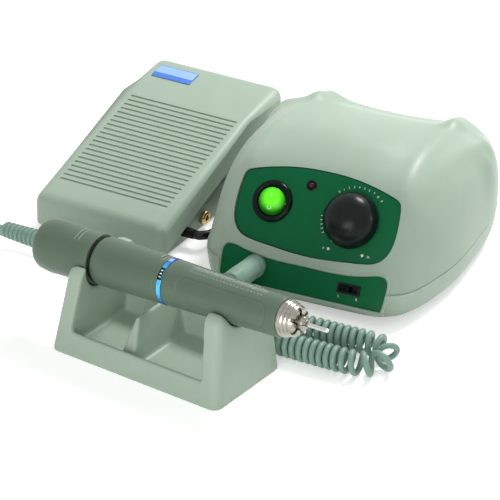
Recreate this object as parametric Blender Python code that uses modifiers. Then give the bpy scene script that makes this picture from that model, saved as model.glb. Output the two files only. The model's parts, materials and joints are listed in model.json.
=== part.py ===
"""Dental laboratory micromotor: control box, handpiece resting on its cradle, foot pedal and their cords.

Metres, +Z up. The control box faces -Y. The origin lies on the table, under the middle of the set without its cords.
Each free-standing piece has an empty that carries it: box_frame, cradle_frame and pedal_frame.
"""

import math

import bmesh
import bpy
import numpy as np
from mathutils import Matrix, Vector

SET_NAME = "dental_lab_micromotor"

# Layout on the table, all of it moved by one shift that centres the set
SHIFT_X = -0.0012
SHIFT_Y = 0.0
BOX_X = 0.0534
BOX_Y = 0.0240
CRADLE_X = 0.0098
CRADLE_Y = -0.1004
CRADLE_TURN = math.radians(-10.9)
PEDAL_X = -0.0372
PEDAL_Y = 0.0420
PEDAL_TURN = math.radians(-4.7)

# Fits shared by all pieces
GAP = 0.0003
OVERRUN = 0.004

# Control box: outer form
FOOT_HEIGHT = 0.004
FOOT_RADIUS = 0.0065
FOOT_INSET_SIDE = 0.030
FOOT_INSET_FRONT = 0.036
FOOT_INSET_BACK = 0.022
BOX_HALF_WIDTH = 0.0745
BOX_FRONT = 0.0460
BOX_DEPTH = 0.1535
SEAM_HEIGHT = 0.0150
CROWN_HEIGHT = 0.0635
COVER_WALL = 0.0025
BASE_WALL = 0.0024
FRONT_FLARE = 0.0055
FLARE_FULL_SHARE = 0.60
FLARE_END_SHARE = 0.78
BOTTOM_WIDTH_SHARE = 0.978
FILLET_SHARE = 0.12
FRONT_BAND_SHARE = 0.1
BOTTOM_INSET_SHARE = 0.97

# Each row runs from the middle of the cover to its side seam. Shares of half width, depth and crown height.
COVER_ROWS_SHARE = (
    (
        (0.000, 0.040, 0.000), (0.540, 0.040, 0.000), (0.680, 0.034, 0.000),
        (0.765, 0.044, 0.000), (0.828, 0.070, 0.000), (0.875, 0.120, 0.000),
    ),
    (
        (0.000, 0.078, 0.170), (0.540, 0.078, 0.170), (0.690, 0.080, 0.170),
        (0.790, 0.092, 0.140), (0.868, 0.122, 0.080), (0.920, 0.172, 0.000),
    ),
    (
        (0.000, 0.170, 0.500), (0.540, 0.170, 0.500), (0.705, 0.170, 0.500),
        (0.830, 0.195, 0.360), (0.915, 0.225, 0.180), (0.955, 0.255, 0.000),
    ),
    (
        (0.000, 0.262, 0.830), (0.540, 0.252, 0.790), (0.705, 0.240, 0.760),
        (0.850, 0.280, 0.560), (0.955, 0.320, 0.280), (0.990, 0.345, 0.000),
    ),
    (
        (0.000, 0.350, 0.955), (0.540, 0.345, 0.900), (0.700, 0.335, 0.830),
        (0.870, 0.385, 0.620), (0.975, 0.415, 0.310), (1.005, 0.430, 0.000),
    ),
    (
        (0.000, 0.480, 0.985), (0.540, 0.480, 0.930), (0.720, 0.480, 0.830),
        (0.892, 0.495, 0.625), (0.982, 0.510, 0.310), (0.998, 0.520, 0.000),
    ),
    (
        (0.000, 0.660, 0.900), (0.520, 0.660, 0.890), (0.700, 0.660, 0.800),
        (0.885, 0.660, 0.600), (0.972, 0.660, 0.300), (0.988, 0.660, 0.000),
    ),
    (
        (0.000, 0.815, 0.775), (0.480, 0.825, 0.835), (0.645, 0.825, 0.785),
        (0.848, 0.815, 0.580), (0.942, 0.805, 0.290), (0.960, 0.805, 0.000),
    ),
    (
        (0.000, 0.950, 0.675), (0.450, 0.960, 0.785), (0.610, 0.960, 0.765),
        (0.795, 0.940, 0.530), (0.884, 0.905, 0.270), (0.905, 0.900, 0.000),
    ),
    (
        (0.000, 0.995, 0.480), (0.450, 1.000, 0.500), (0.600, 0.995, 0.490),
        (0.715, 0.980, 0.400), (0.810, 0.960, 0.230), (0.845, 0.955, 0.000),
    ),
    (
        (0.000, 1.000, 0.000), (0.450, 1.000, 0.000), (0.580, 1.000, 0.000),
        (0.675, 0.995, 0.000), (0.745, 0.985, 0.000), (0.800, 0.975, 0.000),
    ),
)

# Control box: inclined main panel, measured up the panel from its lower edge
PANEL_LEAN = math.radians(34.0)
PANEL_FOOT_Y = 0.0326
PANEL_FOOT_Z = 0.0243
PANEL_HALF_WIDTH = 0.0493
PANEL_HEIGHT = 0.0490
PANEL_THICK = 0.0015
PANEL_OUTLINE_SHARE = (
    (0.00, 1.000), (0.25, 0.992), (0.48, 0.963), (0.70, 0.915), (0.87, 0.865), (0.945, 0.830),
    (0.975, 0.775), (0.990, 0.680), (1.000, 0.550), (1.000, 0.420), (0.985, 0.300), (0.950, 0.205),
    (0.890, 0.130), (0.800, 0.080), (0.650, 0.050), (0.45, 0.030), (0.22, 0.008), (0.00, 0.000),
)

# Control box: lower strip, measured up the strip from its lower edge
STRIP_LEAN = math.radians(27.0)
STRIP_FOOT_Y = 0.0428
STRIP_FOOT_Z = 0.0044
STRIP_HALF_WIDTH = 0.0512
STRIP_HEIGHT = 0.0207
STRIP_THICK = 0.0015
STRIP_OUTLINE_SHARE = (
    (0.00, 0.810), (0.30, 0.810), (0.52, 0.840), (0.70, 0.910), (0.84, 0.985), (0.93, 0.975),
    (0.980, 0.880), (1.000, 0.720), (0.990, 0.300), (0.975, 0.100), (0.940, 0.016), (0.50, 0.004), (0.00, 0.000),
)
SURROUND_DEPTH = 0.012
STRIP_CUT_DEPTH = 0.0040

# Rocker switch
ROCKER_X = -0.0281
ROCKER_UP = 0.0262
BEZEL_RADIUS = 0.0115
BEZEL_FLANGE = 0.0022
BEZEL_BARREL_RADIUS = 0.0098
BEZEL_BARREL_LENGTH = 0.0150
BEZEL_POCKET_RADIUS = 0.0084
BEZEL_POCKET_DEPTH = 0.0085
ROCKER_CLEARANCE = 0.0004
ROCKER_THICK = 0.0044
ROCKER_CROWN = 0.0016
ROCKER_PIVOT_DEPTH = 0.0020
ROCKER_REST = math.radians(6.0)
BEZEL_ROUND = 0.0008
PIN_RADIUS = 0.0008
PIN_CLEARANCE = 0.00012

# Pilot lamp
LAMP_X = -0.0072
LAMP_UP = 0.0397
LAMP_RIM_RADIUS = 0.0030
LAMP_RIM_HEIGHT = 0.0008
LAMP_LENS_RADIUS = 0.0021
LAMP_LENS_HEIGHT = 0.0018
LAMP_BODY_LENGTH = 0.0080

# Speed control
KNOB_X = 0.0215
KNOB_UP = 0.0250
KNOB_RADIUS = 0.0161
KNOB_HEIGHT = 0.0125
KNOB_SKIRT = 0.0022
KNOB_LIFT = 0.0008
KNOB_BORE_DEPTH = 0.0080
SHAFT_RADIUS = 0.0030
SHAFT_CLEARANCE = 0.0002
POT_RADIUS = 0.0082
POT_LENGTH = 0.0090
POT_BUSH_RADIUS = 0.0045

# Direction switch on the strip
SLIDE_X = 0.0288
SLIDE_UP = 0.0094
SLIDE_WIDTH = 0.0138
SLIDE_HEIGHT = 0.0058
SLIDE_BODY_DEPTH = 0.0085
SLIDE_FLANGE = 0.0008
SLIDE_POCKET_DEPTH = 0.0030
SLIDE_POCKET_MARGIN = 0.0008
SLIDE_THUMB_WIDTH = 0.0058
SLIDE_THUMB_RISE = 0.0016
SLIDE_CLEARANCE = 0.0004

# Handpiece socket on the strip
SOCKET_X = -0.0300
SOCKET_UP = 0.0102
SOCKET_TILT = math.radians(10.0)
SOCKET_RADIUS = 0.0068
SOCKET_BORE_RADIUS = 0.0040
SOCKET_PROUD = 0.0032
SOCKET_LENGTH = 0.0120
SOCKET_BORE_DEPTH = 0.0090

# Back of the control box
BACK_FACE_GAP = 0.0003
INLET_X = 0.0260
INLET_Z = 0.0300
INLET_WIDTH = 0.0300
INLET_HEIGHT = 0.0240
INLET_FLANGE = 0.0025
INLET_BODY_WIDTH = 0.0260
INLET_BODY_HEIGHT = 0.0200
INLET_BODY_DEPTH = 0.0180
INLET_POCKET_WIDTH = 0.0220
INLET_POCKET_HEIGHT = 0.0150
INLET_POCKET_DEPTH = 0.0150
PEDAL_SOCKET_X = -0.0280
PEDAL_SOCKET_Z = 0.0220
PEDAL_SOCKET_RADIUS = 0.0080
PEDAL_SOCKET_FLANGE = 0.0020
PEDAL_SOCKET_BODY_RADIUS = 0.0065
PEDAL_SOCKET_BODY_LENGTH = 0.0120
PEDAL_SOCKET_BORE_RADIUS = 0.0034
PEDAL_SOCKET_BORE_DEPTH = 0.0100

# Inside the control box
TRANSFORMER_WIDTH = 0.0460
TRANSFORMER_DEPTH = 0.0360
TRANSFORMER_HEIGHT = 0.0360
TRANSFORMER_X = 0.0300
TRANSFORMER_CLEARANCE = 0.0148
WINDING_WIDTH = 0.0300
WINDING_DEPTH = 0.0460
WINDING_HEIGHT = 0.0220
BOARD_WIDTH = 0.0420
BOARD_FRONT_CLEARANCE = 0.0200
BOARD_THICK = 0.0016
BOARD_X = -0.0300
BOARD_BACK_CLEARANCE = 0.0278
BOARD_LIFT = 0.0060
POST_RADIUS = 0.0030
POST_INSET = 0.0060
HEATSINK_WIDTH = 0.0200
HEATSINK_DEPTH = 0.0300
HEATSINK_HEIGHT = 0.0160

# Feet and their screws
FOOT_HOLE_RADIUS = 0.0018
FOOT_COUNTERBORE_RADIUS = 0.0032
FOOT_COUNTERBORE_DEPTH = 0.0022
SCREW_SHANK_RADIUS = 0.0014
SCREW_HEAD_RADIUS = 0.0027
SCREW_HEAD_HEIGHT = 0.0014
SCREW_HEAD_RECESS = 0.0006
SCREW_REACH = 0.0050

# Cradle
CRADLE_LENGTH = 0.1154
CRADLE_OFF_CENTRE = -0.0006
CRADLE_WIDTH = 0.0600
CRADLE_HEIGHT = 0.0500
END_DRAFT_SHARE = 0.109
FRONT_DRAFT_SHARE = 0.217
BACK_DRAFT_SHARE = 0.040
CRADLE_EDGE = 0.0034
END_PLATE = 0.0112
SADDLE_REACH = 0.0350
TRAY_FLOOR = 0.0040
TRAY_HALF_WIDTH = 0.0240
FRONT_WALL_TOP = 0.0135
BACK_WALL_TOP = 0.0240
DIVIDER_X = -0.0100
DIVIDER_TOP = 0.0280
DIVIDER_TOP_HALF = 0.0012
DIVIDER_FOOT_HALF = 0.0060
DIVIDER_FRONT_Y = 0.0120
DIVIDER_BACK_Y = 0.0255

# Handpiece, measured along its axis from the middle of the cradle, nose forwards
HANDPIECE_Z = 0.0498
HANDPIECE_TILT = math.radians(2.6)
CAP_REAR = -0.0850
CAP_ROUND = 0.0060
CAP_WIDE_AT = -0.0730
CAP_REAR_RADIUS = 0.0100
CAP_WIDE_RADIUS = 0.01535
CAP_FRONT_RADIUS = 0.0144
CAP_FRONT = -0.0444
CAP_GROOVE_DEPTH = 0.0005
CAP_GROOVE_WIDTH = 0.0012
CAP_GROOVE_FIRST = -0.0483
CAP_GROOVE_SECOND = -0.0518
CAP_CAVITY_RADIUS = 0.0121
CAP_CAVITY_REAR = -0.0790
CAP_HOLE_RADIUS = 0.0036
SEAL_REAR = CAP_FRONT + GAP
SEAL_WIDTH = 0.0014
SEAL_FRONT = SEAL_REAR + SEAL_WIDTH
SEAL_RADIUS = 0.0137
HOUSING_REAR = SEAL_FRONT + GAP
HOUSING_REAR_RADIUS = 0.01405
HOUSING_FRONT = 0.0035
HOUSING_FRONT_RADIUS = 0.01325
HOUSING_GROOVE_AT = 0.0012
HOUSING_GROOVE_WIDTH = 0.0007
HOUSING_GROOVE_DEPTH = 0.0004
HOUSING_SPIGOT_RADIUS = 0.0118
HOUSING_SPIGOT_REAR = -0.0500
HOUSING_BORE_RADIUS = 0.0108
HOUSING_BORE_FRONT = -0.0010
FRONT_SPIGOT_RADIUS = 0.0110
NOSE_TUBE_RADIUS = 0.0078
NOSE_TUBE_BORE = 0.0055
RING_REAR = HOUSING_FRONT + GAP
RING_WIDTH = 0.0028
RING_FRONT = RING_REAR + RING_WIDTH
RING_RADIUS = 0.01325
GRIP_REAR = RING_FRONT + GAP
FRONT_SPIGOT_REACH = 0.0036
FRONT_SPIGOT_END = GRIP_REAR + FRONT_SPIGOT_REACH
GRIP_FRONT = 0.0813
NOSE_TUBE_SETBACK = 0.0038
NOSE_TUBE_END = GRIP_FRONT - NOSE_TUBE_SETBACK
GRIP_REAR_RADIUS = 0.0131
GRIP_FRONT_RADIUS = 0.01125
GRIP_BORE_RADIUS = 0.0096
GRIP_COUNTERBORE_ROOM = 0.0015
GRIP_COUNTERBORE_END = FRONT_SPIGOT_END + GRIP_COUNTERBORE_ROOM
GRIP_CHAMFER = 0.0006
NOZZLE_REAR = GRIP_FRONT + GAP
NOZZLE_LENGTH = 0.0094
NOZZLE_FRONT = NOZZLE_REAR + NOZZLE_LENGTH
NOZZLE_REAR_RADIUS = 0.0105
NOZZLE_FRONT_RADIUS = 0.00775
NOZZLE_SKIRT_RADIUS = 0.0093
NOZZLE_SKIRT_BORE = 0.0081
NOZZLE_SKIRT_LENGTH = 0.0056
NOZZLE_SKIRT_REAR = NOZZLE_REAR - NOZZLE_SKIRT_LENGTH
NOZZLE_BORE_RADIUS = 0.0045
NOZZLE_NOTCH_DEPTH = 0.0011
NOZZLE_NOTCH_WIDTH = 0.0020
NOZZLE_NOTCH_COUNT = 6
SPINDLE_RADIUS = 0.0025
SPINDLE_REAR = -0.0440
SPINDLE_PROUD = 0.0034
SPINDLE_END = NOZZLE_REAR + SPINDLE_PROUD
COLLET_RADIUS = 0.0040
COLLET_REAR = SPINDLE_END + GAP
COLLET_PROUD = 0.0040
COLLET_FRONT = NOZZLE_FRONT + COLLET_PROUD
COLLET_TAPER = 0.0012
COLLET_BORE_RADIUS = 0.0014
BUR_RADIUS = 0.001175
BUR_SEAT = 0.0007
BUR_REAR = COLLET_REAR + BUR_SEAT
BUR_PROUD = 0.0135
BUR_FRONT = COLLET_FRONT + BUR_PROUD
ROTOR_RADIUS = 0.0060
ROTOR_REAR = -0.0360
ROTOR_FRONT = -0.0070
STATOR_RADIUS = 0.0105
STATOR_BORE_RADIUS = 0.0065
STATOR_REAR = -0.0380
STATOR_FRONT = -0.0050
BEARING_BORE_RADIUS = 0.0028
REAR_BEARING_RADIUS = 0.0105
REAR_BEARING_REAR = -0.0430
REAR_BEARING_FRONT = -0.0390
FRONT_BEARING_RADIUS = 0.0052
FRONT_BEARING_INSET = 0.0035
FRONT_BEARING_LENGTH = 0.0050
FRONT_BEARING_FRONT = NOSE_TUBE_END - FRONT_BEARING_INSET
FRONT_BEARING_REAR = FRONT_BEARING_FRONT - FRONT_BEARING_LENGTH

# Pedal
PAD_THICK = 0.0015
PAD_LENGTH = 0.0640
PAD_WIDTH = 0.0080
PAD_FRONT_Y = -0.0340
PAD_BACK_Y = 0.0700
PEDAL_BASE_WIDTH = 0.0800
PEDAL_BASE_FRONT = -0.0460
PEDAL_BASE_BACK = 0.0840
PEDAL_BASE_TOP = 0.0200
PEDAL_BASE_FLOOR = 0.0025
PEDAL_BASE_WALL = 0.0022
TREADLE_OVERHANG = 0.0046
TREADLE_LEFT = -PEDAL_BASE_WIDTH - TREADLE_OVERHANG
TREADLE_RIGHT = 0.0041
TREADLE_FRONT = -0.0530
TREADLE_BACK = 0.0920
TREADLE_FRONT_TOP = 0.0246
TREADLE_BREAK_Y = 0.0500
TREADLE_BREAK_TOP = 0.0500
TREADLE_BACK_TOP = 0.0562
TREADLE_FRONT_BOTTOM = 0.0064
TREADLE_KNEE_Y = -0.0290
TREADLE_KNEE_BOTTOM = 0.0125
TREADLE_MIDDLE_Y = 0.0180
TREADLE_MIDDLE_BOTTOM = 0.0268
TREADLE_BACK_BOTTOM = 0.0410
TREADLE_WALL = 0.0023
TREADLE_EDGE = 0.0064
GROOVE_COUNT = 21
GROOVE_FIRST_Y = 0.0466
GROOVE_LAST_Y = -0.0336
GROOVE_LEFT_MARGIN = 0.0073
GROOVE_LEFT = TREADLE_LEFT + GROOVE_LEFT_MARGIN
GROOVE_RIGHT_MARGIN = 0.0074
GROOVE_RIGHT = TREADLE_RIGHT - GROOVE_RIGHT_MARGIN
GROOVE_WIDTH = 0.0013
GROOVE_DEPTH = 0.0008
HINGE_Y = -0.0380
HINGE_Z = 0.0120
HINGE_PIN_RADIUS = 0.0020
HINGE_PIN_CLEARANCE = 0.00012
HINGE_FIXED_CLEARANCE = 0.0003
POST_SIDE_MARGIN = 0.0035
HINGE_EAR_THICKNESS = 0.0040
LUG_SIDE_GAP = 0.0005
POST_OUTER = PEDAL_BASE_WIDTH / 2 - POST_SIDE_MARGIN
POST_INNER = POST_OUTER - HINGE_EAR_THICKNESS
LUG_OUTER = POST_INNER - LUG_SIDE_GAP
LUG_INNER = LUG_OUTER - HINGE_EAR_THICKNESS
LUG_HALF = 0.0045
HINGE_POST_TOP = 0.0160
SPRING_Y = 0.0450
SPRING_RADIUS = 0.0070
SPRING_WIRE_RADIUS = 0.0007
SPRING_TURNS = 4
SPRING_STEPS = 8
SPRING_POST_RADIUS = 0.0050
SPRING_POST_TOP = 0.0090
SPRING_SLACK = 0.0030
LABEL_INSET = 0.0211
LABEL_X = TREADLE_LEFT + LABEL_INSET
LABEL_Y = 0.0756
LABEL_WIDTH = 0.0270
LABEL_DEPTH = 0.0122
LABEL_THICK = 0.0005
SENSOR_Y = 0.0180
SENSOR_WIDTH = 0.0240
SENSOR_DEPTH = 0.0160
SENSOR_THICK = 0.0016
SENSOR_LIFT = 0.0050
MAGNET_RADIUS = 0.0040
MAGNET_THICK = 0.0040
MAGNET_Y = 0.0180
JACK_Y = 0.0010
JACK_Z = 0.0075
JACK_RADIUS = 0.00425
JACK_PROUD = 0.0030
JACK_BODY_RADIUS = 0.0032
JACK_BODY_LENGTH = 0.0120
JACK_BORE_RADIUS = 0.0018
JACK_BORE_DEPTH = 0.0120
PEDAL_EXIT_Y = -0.0215
PEDAL_EXIT_Z = 0.0085
PEDAL_BOOT_RADIUS = 0.0033
PEDAL_BOOT_TIP_RADIUS = 0.0030
PEDAL_BOOT_LENGTH = 0.0075
PEDAL_BOOT_TAIL = 0.0050

# Cord from the handpiece to the control box
CURLY_RADIUS = 0.00175
CURLY_POINTS = 8
BOOT_REAR_RADIUS = 0.00425
BOOT_FRONT_RADIUS = 0.0050
BOOT_LENGTH = 0.0299
BOOT_RIB_COUNT = 5
BOOT_RIB_DEPTH = 0.0006
BOOT_TAIL_RADIUS = 0.0031
BOOT_TAIL_LENGTH = 0.0050
PLUG_RADIUS = 0.0065
PLUG_LENGTH = 0.0300
PLUG_WAIST_RADIUS = 0.0060
PLUG_WAIST_AT = 0.0080
PLUG_SPIGOT_RADIUS = 0.0036
PLUG_SPIGOT_LENGTH = 0.0070
PLUG_BOOT_RADIUS = 0.0046
PLUG_BOOT_TIP_RADIUS = 0.0030
PLUG_BOOT_LENGTH = 0.0080

# Cord from the pedal to the back of the control box
CABLE_RADIUS = 0.00275
LOOP_POINTS = 18
LOOP_OUTER_RADIUS = 0.0375
LOOP_INNER_RADIUS = 0.0225
LOOPS_PER_LAYER = 2.5
LOOP_CENTRE_X = 0.0400
LOOP_CENTRE_Y = 0.1760
LOOP_FLOOR = 0.0030
LOOP_RISE = 0.0061
LOOP_START_ANGLE = math.radians(180.0)
BACK_PLUG_RADIUS = 0.0060
BACK_PLUG_LENGTH = 0.0200
BACK_PLUG_BOOT_RADIUS = 0.0038
BACK_PLUG_BOOT_LENGTH = 0.0090
BACK_PLUG_SPIGOT_RADIUS = 0.0030
BACK_PLUG_SPIGOT_LENGTH = 0.0080

# Facets
FINE_STEPS = 24
ROUND_STEPS = 18
SMALL_STEPS = 12
TINY_STEPS = 8
POST_STEPS = 6
MERGE = 1e-5
SHARP_ANGLE = math.radians(32.0)

ORIGIN = (0.0, 0.0, 0.0)
UNTURNED = (0.0, 0.0, 0.0)
ALONG_X = (0.0, math.radians(90.0), 0.0)
ALONG_BACK = (math.radians(-90.0), 0.0, 0.0)

PLASTIC = ((0.62, 0.66, 0.58, 1.0), 0.45, 0.0)
GRIP_PLASTIC = ((0.36, 0.42, 0.37, 1.0), 0.45, 0.0)
TEAL_RUBBER = ((0.50, 0.62, 0.58, 1.0), 0.55, 0.0)
PANEL_GREEN = ((0.016, 0.11, 0.05, 1.0), 0.40, 0.0)
LENS_GREEN = ((0.02, 0.45, 0.12, 1.0), 0.20, 0.0)
LENS_RED = ((0.20, 0.01, 0.01, 1.0), 0.20, 0.0)
BLACK_PLASTIC = ((0.02, 0.02, 0.02, 1.0), 0.35, 0.0)
BLACK_RUBBER = ((0.02, 0.02, 0.02, 1.0), 0.70, 0.0)
CHROME = ((0.80, 0.80, 0.80, 1.0), 0.12, 1.0)
STEEL = ((0.62, 0.62, 0.62, 1.0), 0.25, 1.0)
BRASS = ((0.75, 0.55, 0.25, 1.0), 0.25, 1.0)
BLUE_METAL = ((0.02, 0.10, 0.55, 1.0), 0.25, 1.0)
BLUE_LABEL = ((0.03, 0.12, 0.45, 1.0), 0.40, 0.0)
COPPER = ((0.65, 0.28, 0.14, 1.0), 0.35, 1.0)
BOARD_GREEN = ((0.02, 0.16, 0.06, 1.0), 0.45, 0.0)
CORE_STEEL = ((0.22, 0.22, 0.23, 1.0), 0.45, 1.0)
MAGNET_GREY = ((0.30, 0.30, 0.32, 1.0), 0.40, 1.0)


def clear_scene():
    for obj in list(bpy.data.objects):
        bpy.data.objects.remove(obj, do_unlink=True)


def new_collection(name, hidden):
    collection = bpy.data.collections.new(name)
    collection.hide_render = hidden
    bpy.context.scene.collection.children.link(collection)
    return collection


clear_scene()
PARTS = new_collection(SET_NAME, False)
CUTTERS = new_collection("cutters", True)


def new_object(name, data, parent, location=ORIGIN, rotation=UNTURNED, cutter=False):
    obj = bpy.data.objects.new(name, data)
    (CUTTERS if cutter else PARTS).objects.link(obj)
    obj.parent = parent
    obj.location = location
    obj.rotation_euler = rotation
    if cutter:
        obj.hide_render = True
        obj.display_type = "WIRE"
    return obj


def new_frame(name, parent=None, location=ORIGIN, rotation=UNTURNED):
    return new_object(name, None, parent, location, rotation)


def paint(obj, look, smooth=True):
    """Give the object its own Principled material and, where it is round, smooth shading with sharp edges kept."""
    colour, roughness, metallic = look
    material = bpy.data.materials.new(obj.name + "_material")
    material.use_nodes = True
    shader = material.node_tree.nodes["Principled BSDF"]
    shader.inputs["Base Color"].default_value = colour
    shader.inputs["Roughness"].default_value = roughness
    shader.inputs["Metallic"].default_value = metallic
    material.diffuse_color = colour
    obj.data.materials.append(material)
    if smooth and obj.type == "MESH" and obj.data.polygons:
        obj.data.shade_smooth()
        obj.data.set_sharp_from_angle(angle=SHARP_ANGLE)
    return obj


def mesh_from(name, bm):
    bmesh.ops.recalc_face_normals(bm, faces=bm.faces)
    mesh = bpy.data.meshes.new(name)
    bm.to_mesh(mesh)
    bm.free()
    return mesh


def tapered_mesh(name, low, high, edge=0.0, segments=3, keep_floor=False):
    """A block whose floor and top are the rectangles low and high, each given as x0, x1, y0, y1, z."""
    bm = bmesh.new()
    bmesh.ops.create_cube(bm, size=1.0)
    for vert in bm.verts:
        x0, x1, y0, y1, z = high if vert.co.z > 0 else low
        vert.co = Vector((x1 if vert.co.x > 0 else x0, y1 if vert.co.y > 0 else y0, z))
    if edge:
        floor = min(vert.co.z for vert in bm.verts)
        chosen = [
            item for item in bm.edges
            if not (keep_floor and all(abs(vert.co.z - floor) < MERGE for vert in item.verts))
        ]
        bmesh.ops.bevel(bm, geom=chosen, offset=edge, segments=segments, profile=0.5, affect="EDGES")
    return mesh_from(name, bm)


def block_mesh(name, size, centre, edge=0.0, segments=2):
    """A straight block of this size round this centre."""
    x0, y0, z0 = (c - s / 2 for c, s in zip(centre, size))
    x1, y1, z1 = (c + s / 2 for c, s in zip(centre, size))
    return tapered_mesh(name, (x0, x1, y0, y1, z0), (x0, x1, y0, y1, z1), edge, segments)


def lathe(name, profile, steps, parent, location=ORIGIN, rotation=UNTURNED, ring=False, cutter=False):
    """Turn a profile of (radius, height) pairs, which runs down the outer side, about its own Z."""
    mesh = bpy.data.meshes.new(name)
    count = len(profile)
    edges = [(i, (i + 1) % count) for i in range(count if ring else count - 1)]
    mesh.from_pydata([(radius, 0.0, height) for radius, height in profile], edges, [])
    obj = new_object(name, mesh, parent, location, rotation, cutter)
    screw = obj.modifiers.new("Turned", "SCREW")
    screw.axis = "Z"
    screw.angle = math.tau
    screw.steps = steps
    screw.render_steps = steps
    screw.use_merge_vertices = True
    screw.merge_threshold = MERGE
    screw.use_smooth_shade = True
    return obj


def rod(name, radius, low, high, steps, parent, location=ORIGIN, rotation=UNTURNED, cutter=False, chamfer=0.0):
    """A plain cylinder about its own Z from low to high."""
    profile = [(0.0, high), (radius, high), (radius, low), (0.0, low)]
    if chamfer:
        profile = [
            (0.0, high), (radius - chamfer, high), (radius, high - chamfer),
            (radius, low + chamfer), (radius - chamfer, low), (0.0, low),
        ]
    return lathe(name, profile, steps, parent, location, rotation, cutter=cutter)


def boolean(target, other, operation="DIFFERENCE"):
    modifier = target.modifiers.new(operation.title(), "BOOLEAN")
    modifier.operation = operation
    modifier.solver = "EXACT"
    modifier.object = other
    return target


def smooth_loop(points, per_span):
    """A closed Catmull-Rom loop through 2D points."""
    points = np.asarray(points, float)
    before, after, beyond = (np.roll(points, shift, axis=0) for shift in (1, -1, -2))
    result = []
    for step in range(per_span):
        t = step / per_span
        result.append(
            0.5 * (
                2 * points + (after - before) * t
                + (2 * before - 5 * points + 4 * after - beyond) * t**2
                + (3 * points - before - 3 * after + beyond) * t**3
            )
        )
    return np.stack(result, axis=1).reshape(-1, 2)


def panel_outline(shares, half_width, height, grow=0.0, per_span=1):
    """The whole outline of a panel from the shares of its right half, grown outwards by a little."""
    right = [(x * (half_width + grow), y * (height + 2 * grow) - grow) for x, y in shares]
    left = [(-x, y) for x, y in reversed(right[1:-1])]
    return smooth_loop(right + left, per_span)


def plate_mesh(name, outline, thick, middle):
    """A flat plate with this outline, its thickness centred on the height called middle."""
    curve = bpy.data.curves.new(name, "CURVE")
    curve.dimensions = "2D"
    curve.fill_mode = "BOTH"
    curve.extrude = thick / 2
    spline = curve.splines.new("POLY")
    spline.points.add(len(outline) - 1)
    for point, (x, y) in zip(spline.points, outline):
        point.co = (x, y, 0.0, 1.0)
    spline.use_cyclic_u = True
    helper = bpy.data.objects.new(name + "_curve", curve)
    mesh = bpy.data.meshes.new_from_object(helper)
    bpy.data.objects.remove(helper, do_unlink=True)
    bm = bmesh.new()
    bm.from_mesh(mesh)
    bmesh.ops.remove_doubles(bm, verts=bm.verts, dist=MERGE)
    bmesh.ops.translate(bm, verts=bm.verts, vec=(0.0, 0.0, middle))
    return mesh_from(name, bm)


def smooth_path(points, spacing):
    """Points at an even spacing along a Catmull-Rom curve through a route. Further columns are carried along linearly."""
    route = np.asarray(points, float)
    place = route[:, :3]
    padded = np.vstack([2 * place[0] - place[1], place, 2 * place[-1] - place[-2]])
    dense, extra = [], []
    for i in range(len(place) - 1):
        before, here, after, beyond = padded[i : i + 4]
        for t in np.linspace(0.0, 1.0, 40, endpoint=False):
            dense.append(
                0.5 * (
                    2 * here + (after - before) * t
                    + (2 * before - 5 * here + 4 * after - beyond) * t**2
                    + (3 * here - before - 3 * after + beyond) * t**3
                )
            )
            extra.append(route[i, 3:] * (1 - t) + route[i + 1, 3:] * t)
    dense.append(place[-1])
    extra.append(route[-1, 3:])
    dense, extra = np.array(dense), np.array(extra)
    along = np.concatenate([[0.0], np.cumsum(np.linalg.norm(np.diff(dense, axis=0), axis=1))])
    count = max(2, int(round(along[-1] / spacing)) + 1)
    wanted = np.linspace(0.0, along[-1], count)
    columns = [np.interp(wanted, along, column) for column in np.hstack([dense, extra]).T]
    return np.stack(columns, axis=1)


def tube(name, points, radius, resolution, parent=None):
    """A round tube along points, as one poly spline with filled caps."""
    curve = bpy.data.curves.new(name, "CURVE")
    curve.dimensions = "3D"
    curve.bevel_depth = radius
    curve.bevel_resolution = resolution
    curve.use_fill_caps = True
    curve.twist_mode = "MINIMUM"
    spline = curve.splines.new("POLY")
    spline.points.add(len(points) - 1)
    for point, place in zip(spline.points, points):
        point.co = (*place, 1.0)
    return new_object(name, curve, parent)


def carried_frames(path):
    """Two unit vectors square to the path at each point, turned as little as possible from one point to the next."""
    tangents = np.gradient(path, axis=0)
    tangents /= np.linalg.norm(tangents, axis=1)[:, None]
    side = np.cross(tangents[0], (0.0, 0.0, 1.0))
    side /= np.linalg.norm(side)
    sides = []
    for tangent in tangents:
        side = side - tangent * side.dot(tangent)
        side /= np.linalg.norm(side)
        sides.append(side)
    sides = np.array(sides)
    return sides, np.cross(tangents, sides)


def curled(route, spacing, points_per_curl):
    """Wind a route of (x, y, z, pitch, coil radius) rows into one helix centreline."""
    fine = smooth_path(route, spacing)
    path, pitch, radius = fine[:, :3], fine[:, 3], fine[:, 4]
    steps = np.linalg.norm(np.diff(path, axis=0), axis=1)
    turns = np.concatenate([[0.0], np.cumsum(steps * 2 / (pitch[1:] + pitch[:-1]))])
    sides, others = carried_frames(path)
    count = int(round(turns[-1] * points_per_curl))
    wanted = np.linspace(0.0, turns[-1], count + 1)

    def along(values):
        return np.stack([np.interp(wanted, turns, column) for column in values.T], axis=1)

    angle = (wanted * math.tau)[:, None]
    reach = np.interp(wanted, turns, radius)[:, None]
    offset = along(sides) * np.cos(angle) + along(others) * np.sin(angle)
    offset /= np.linalg.norm(offset, axis=1)[:, None]
    return along(path) + offset * reach, turns[-1]


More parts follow.
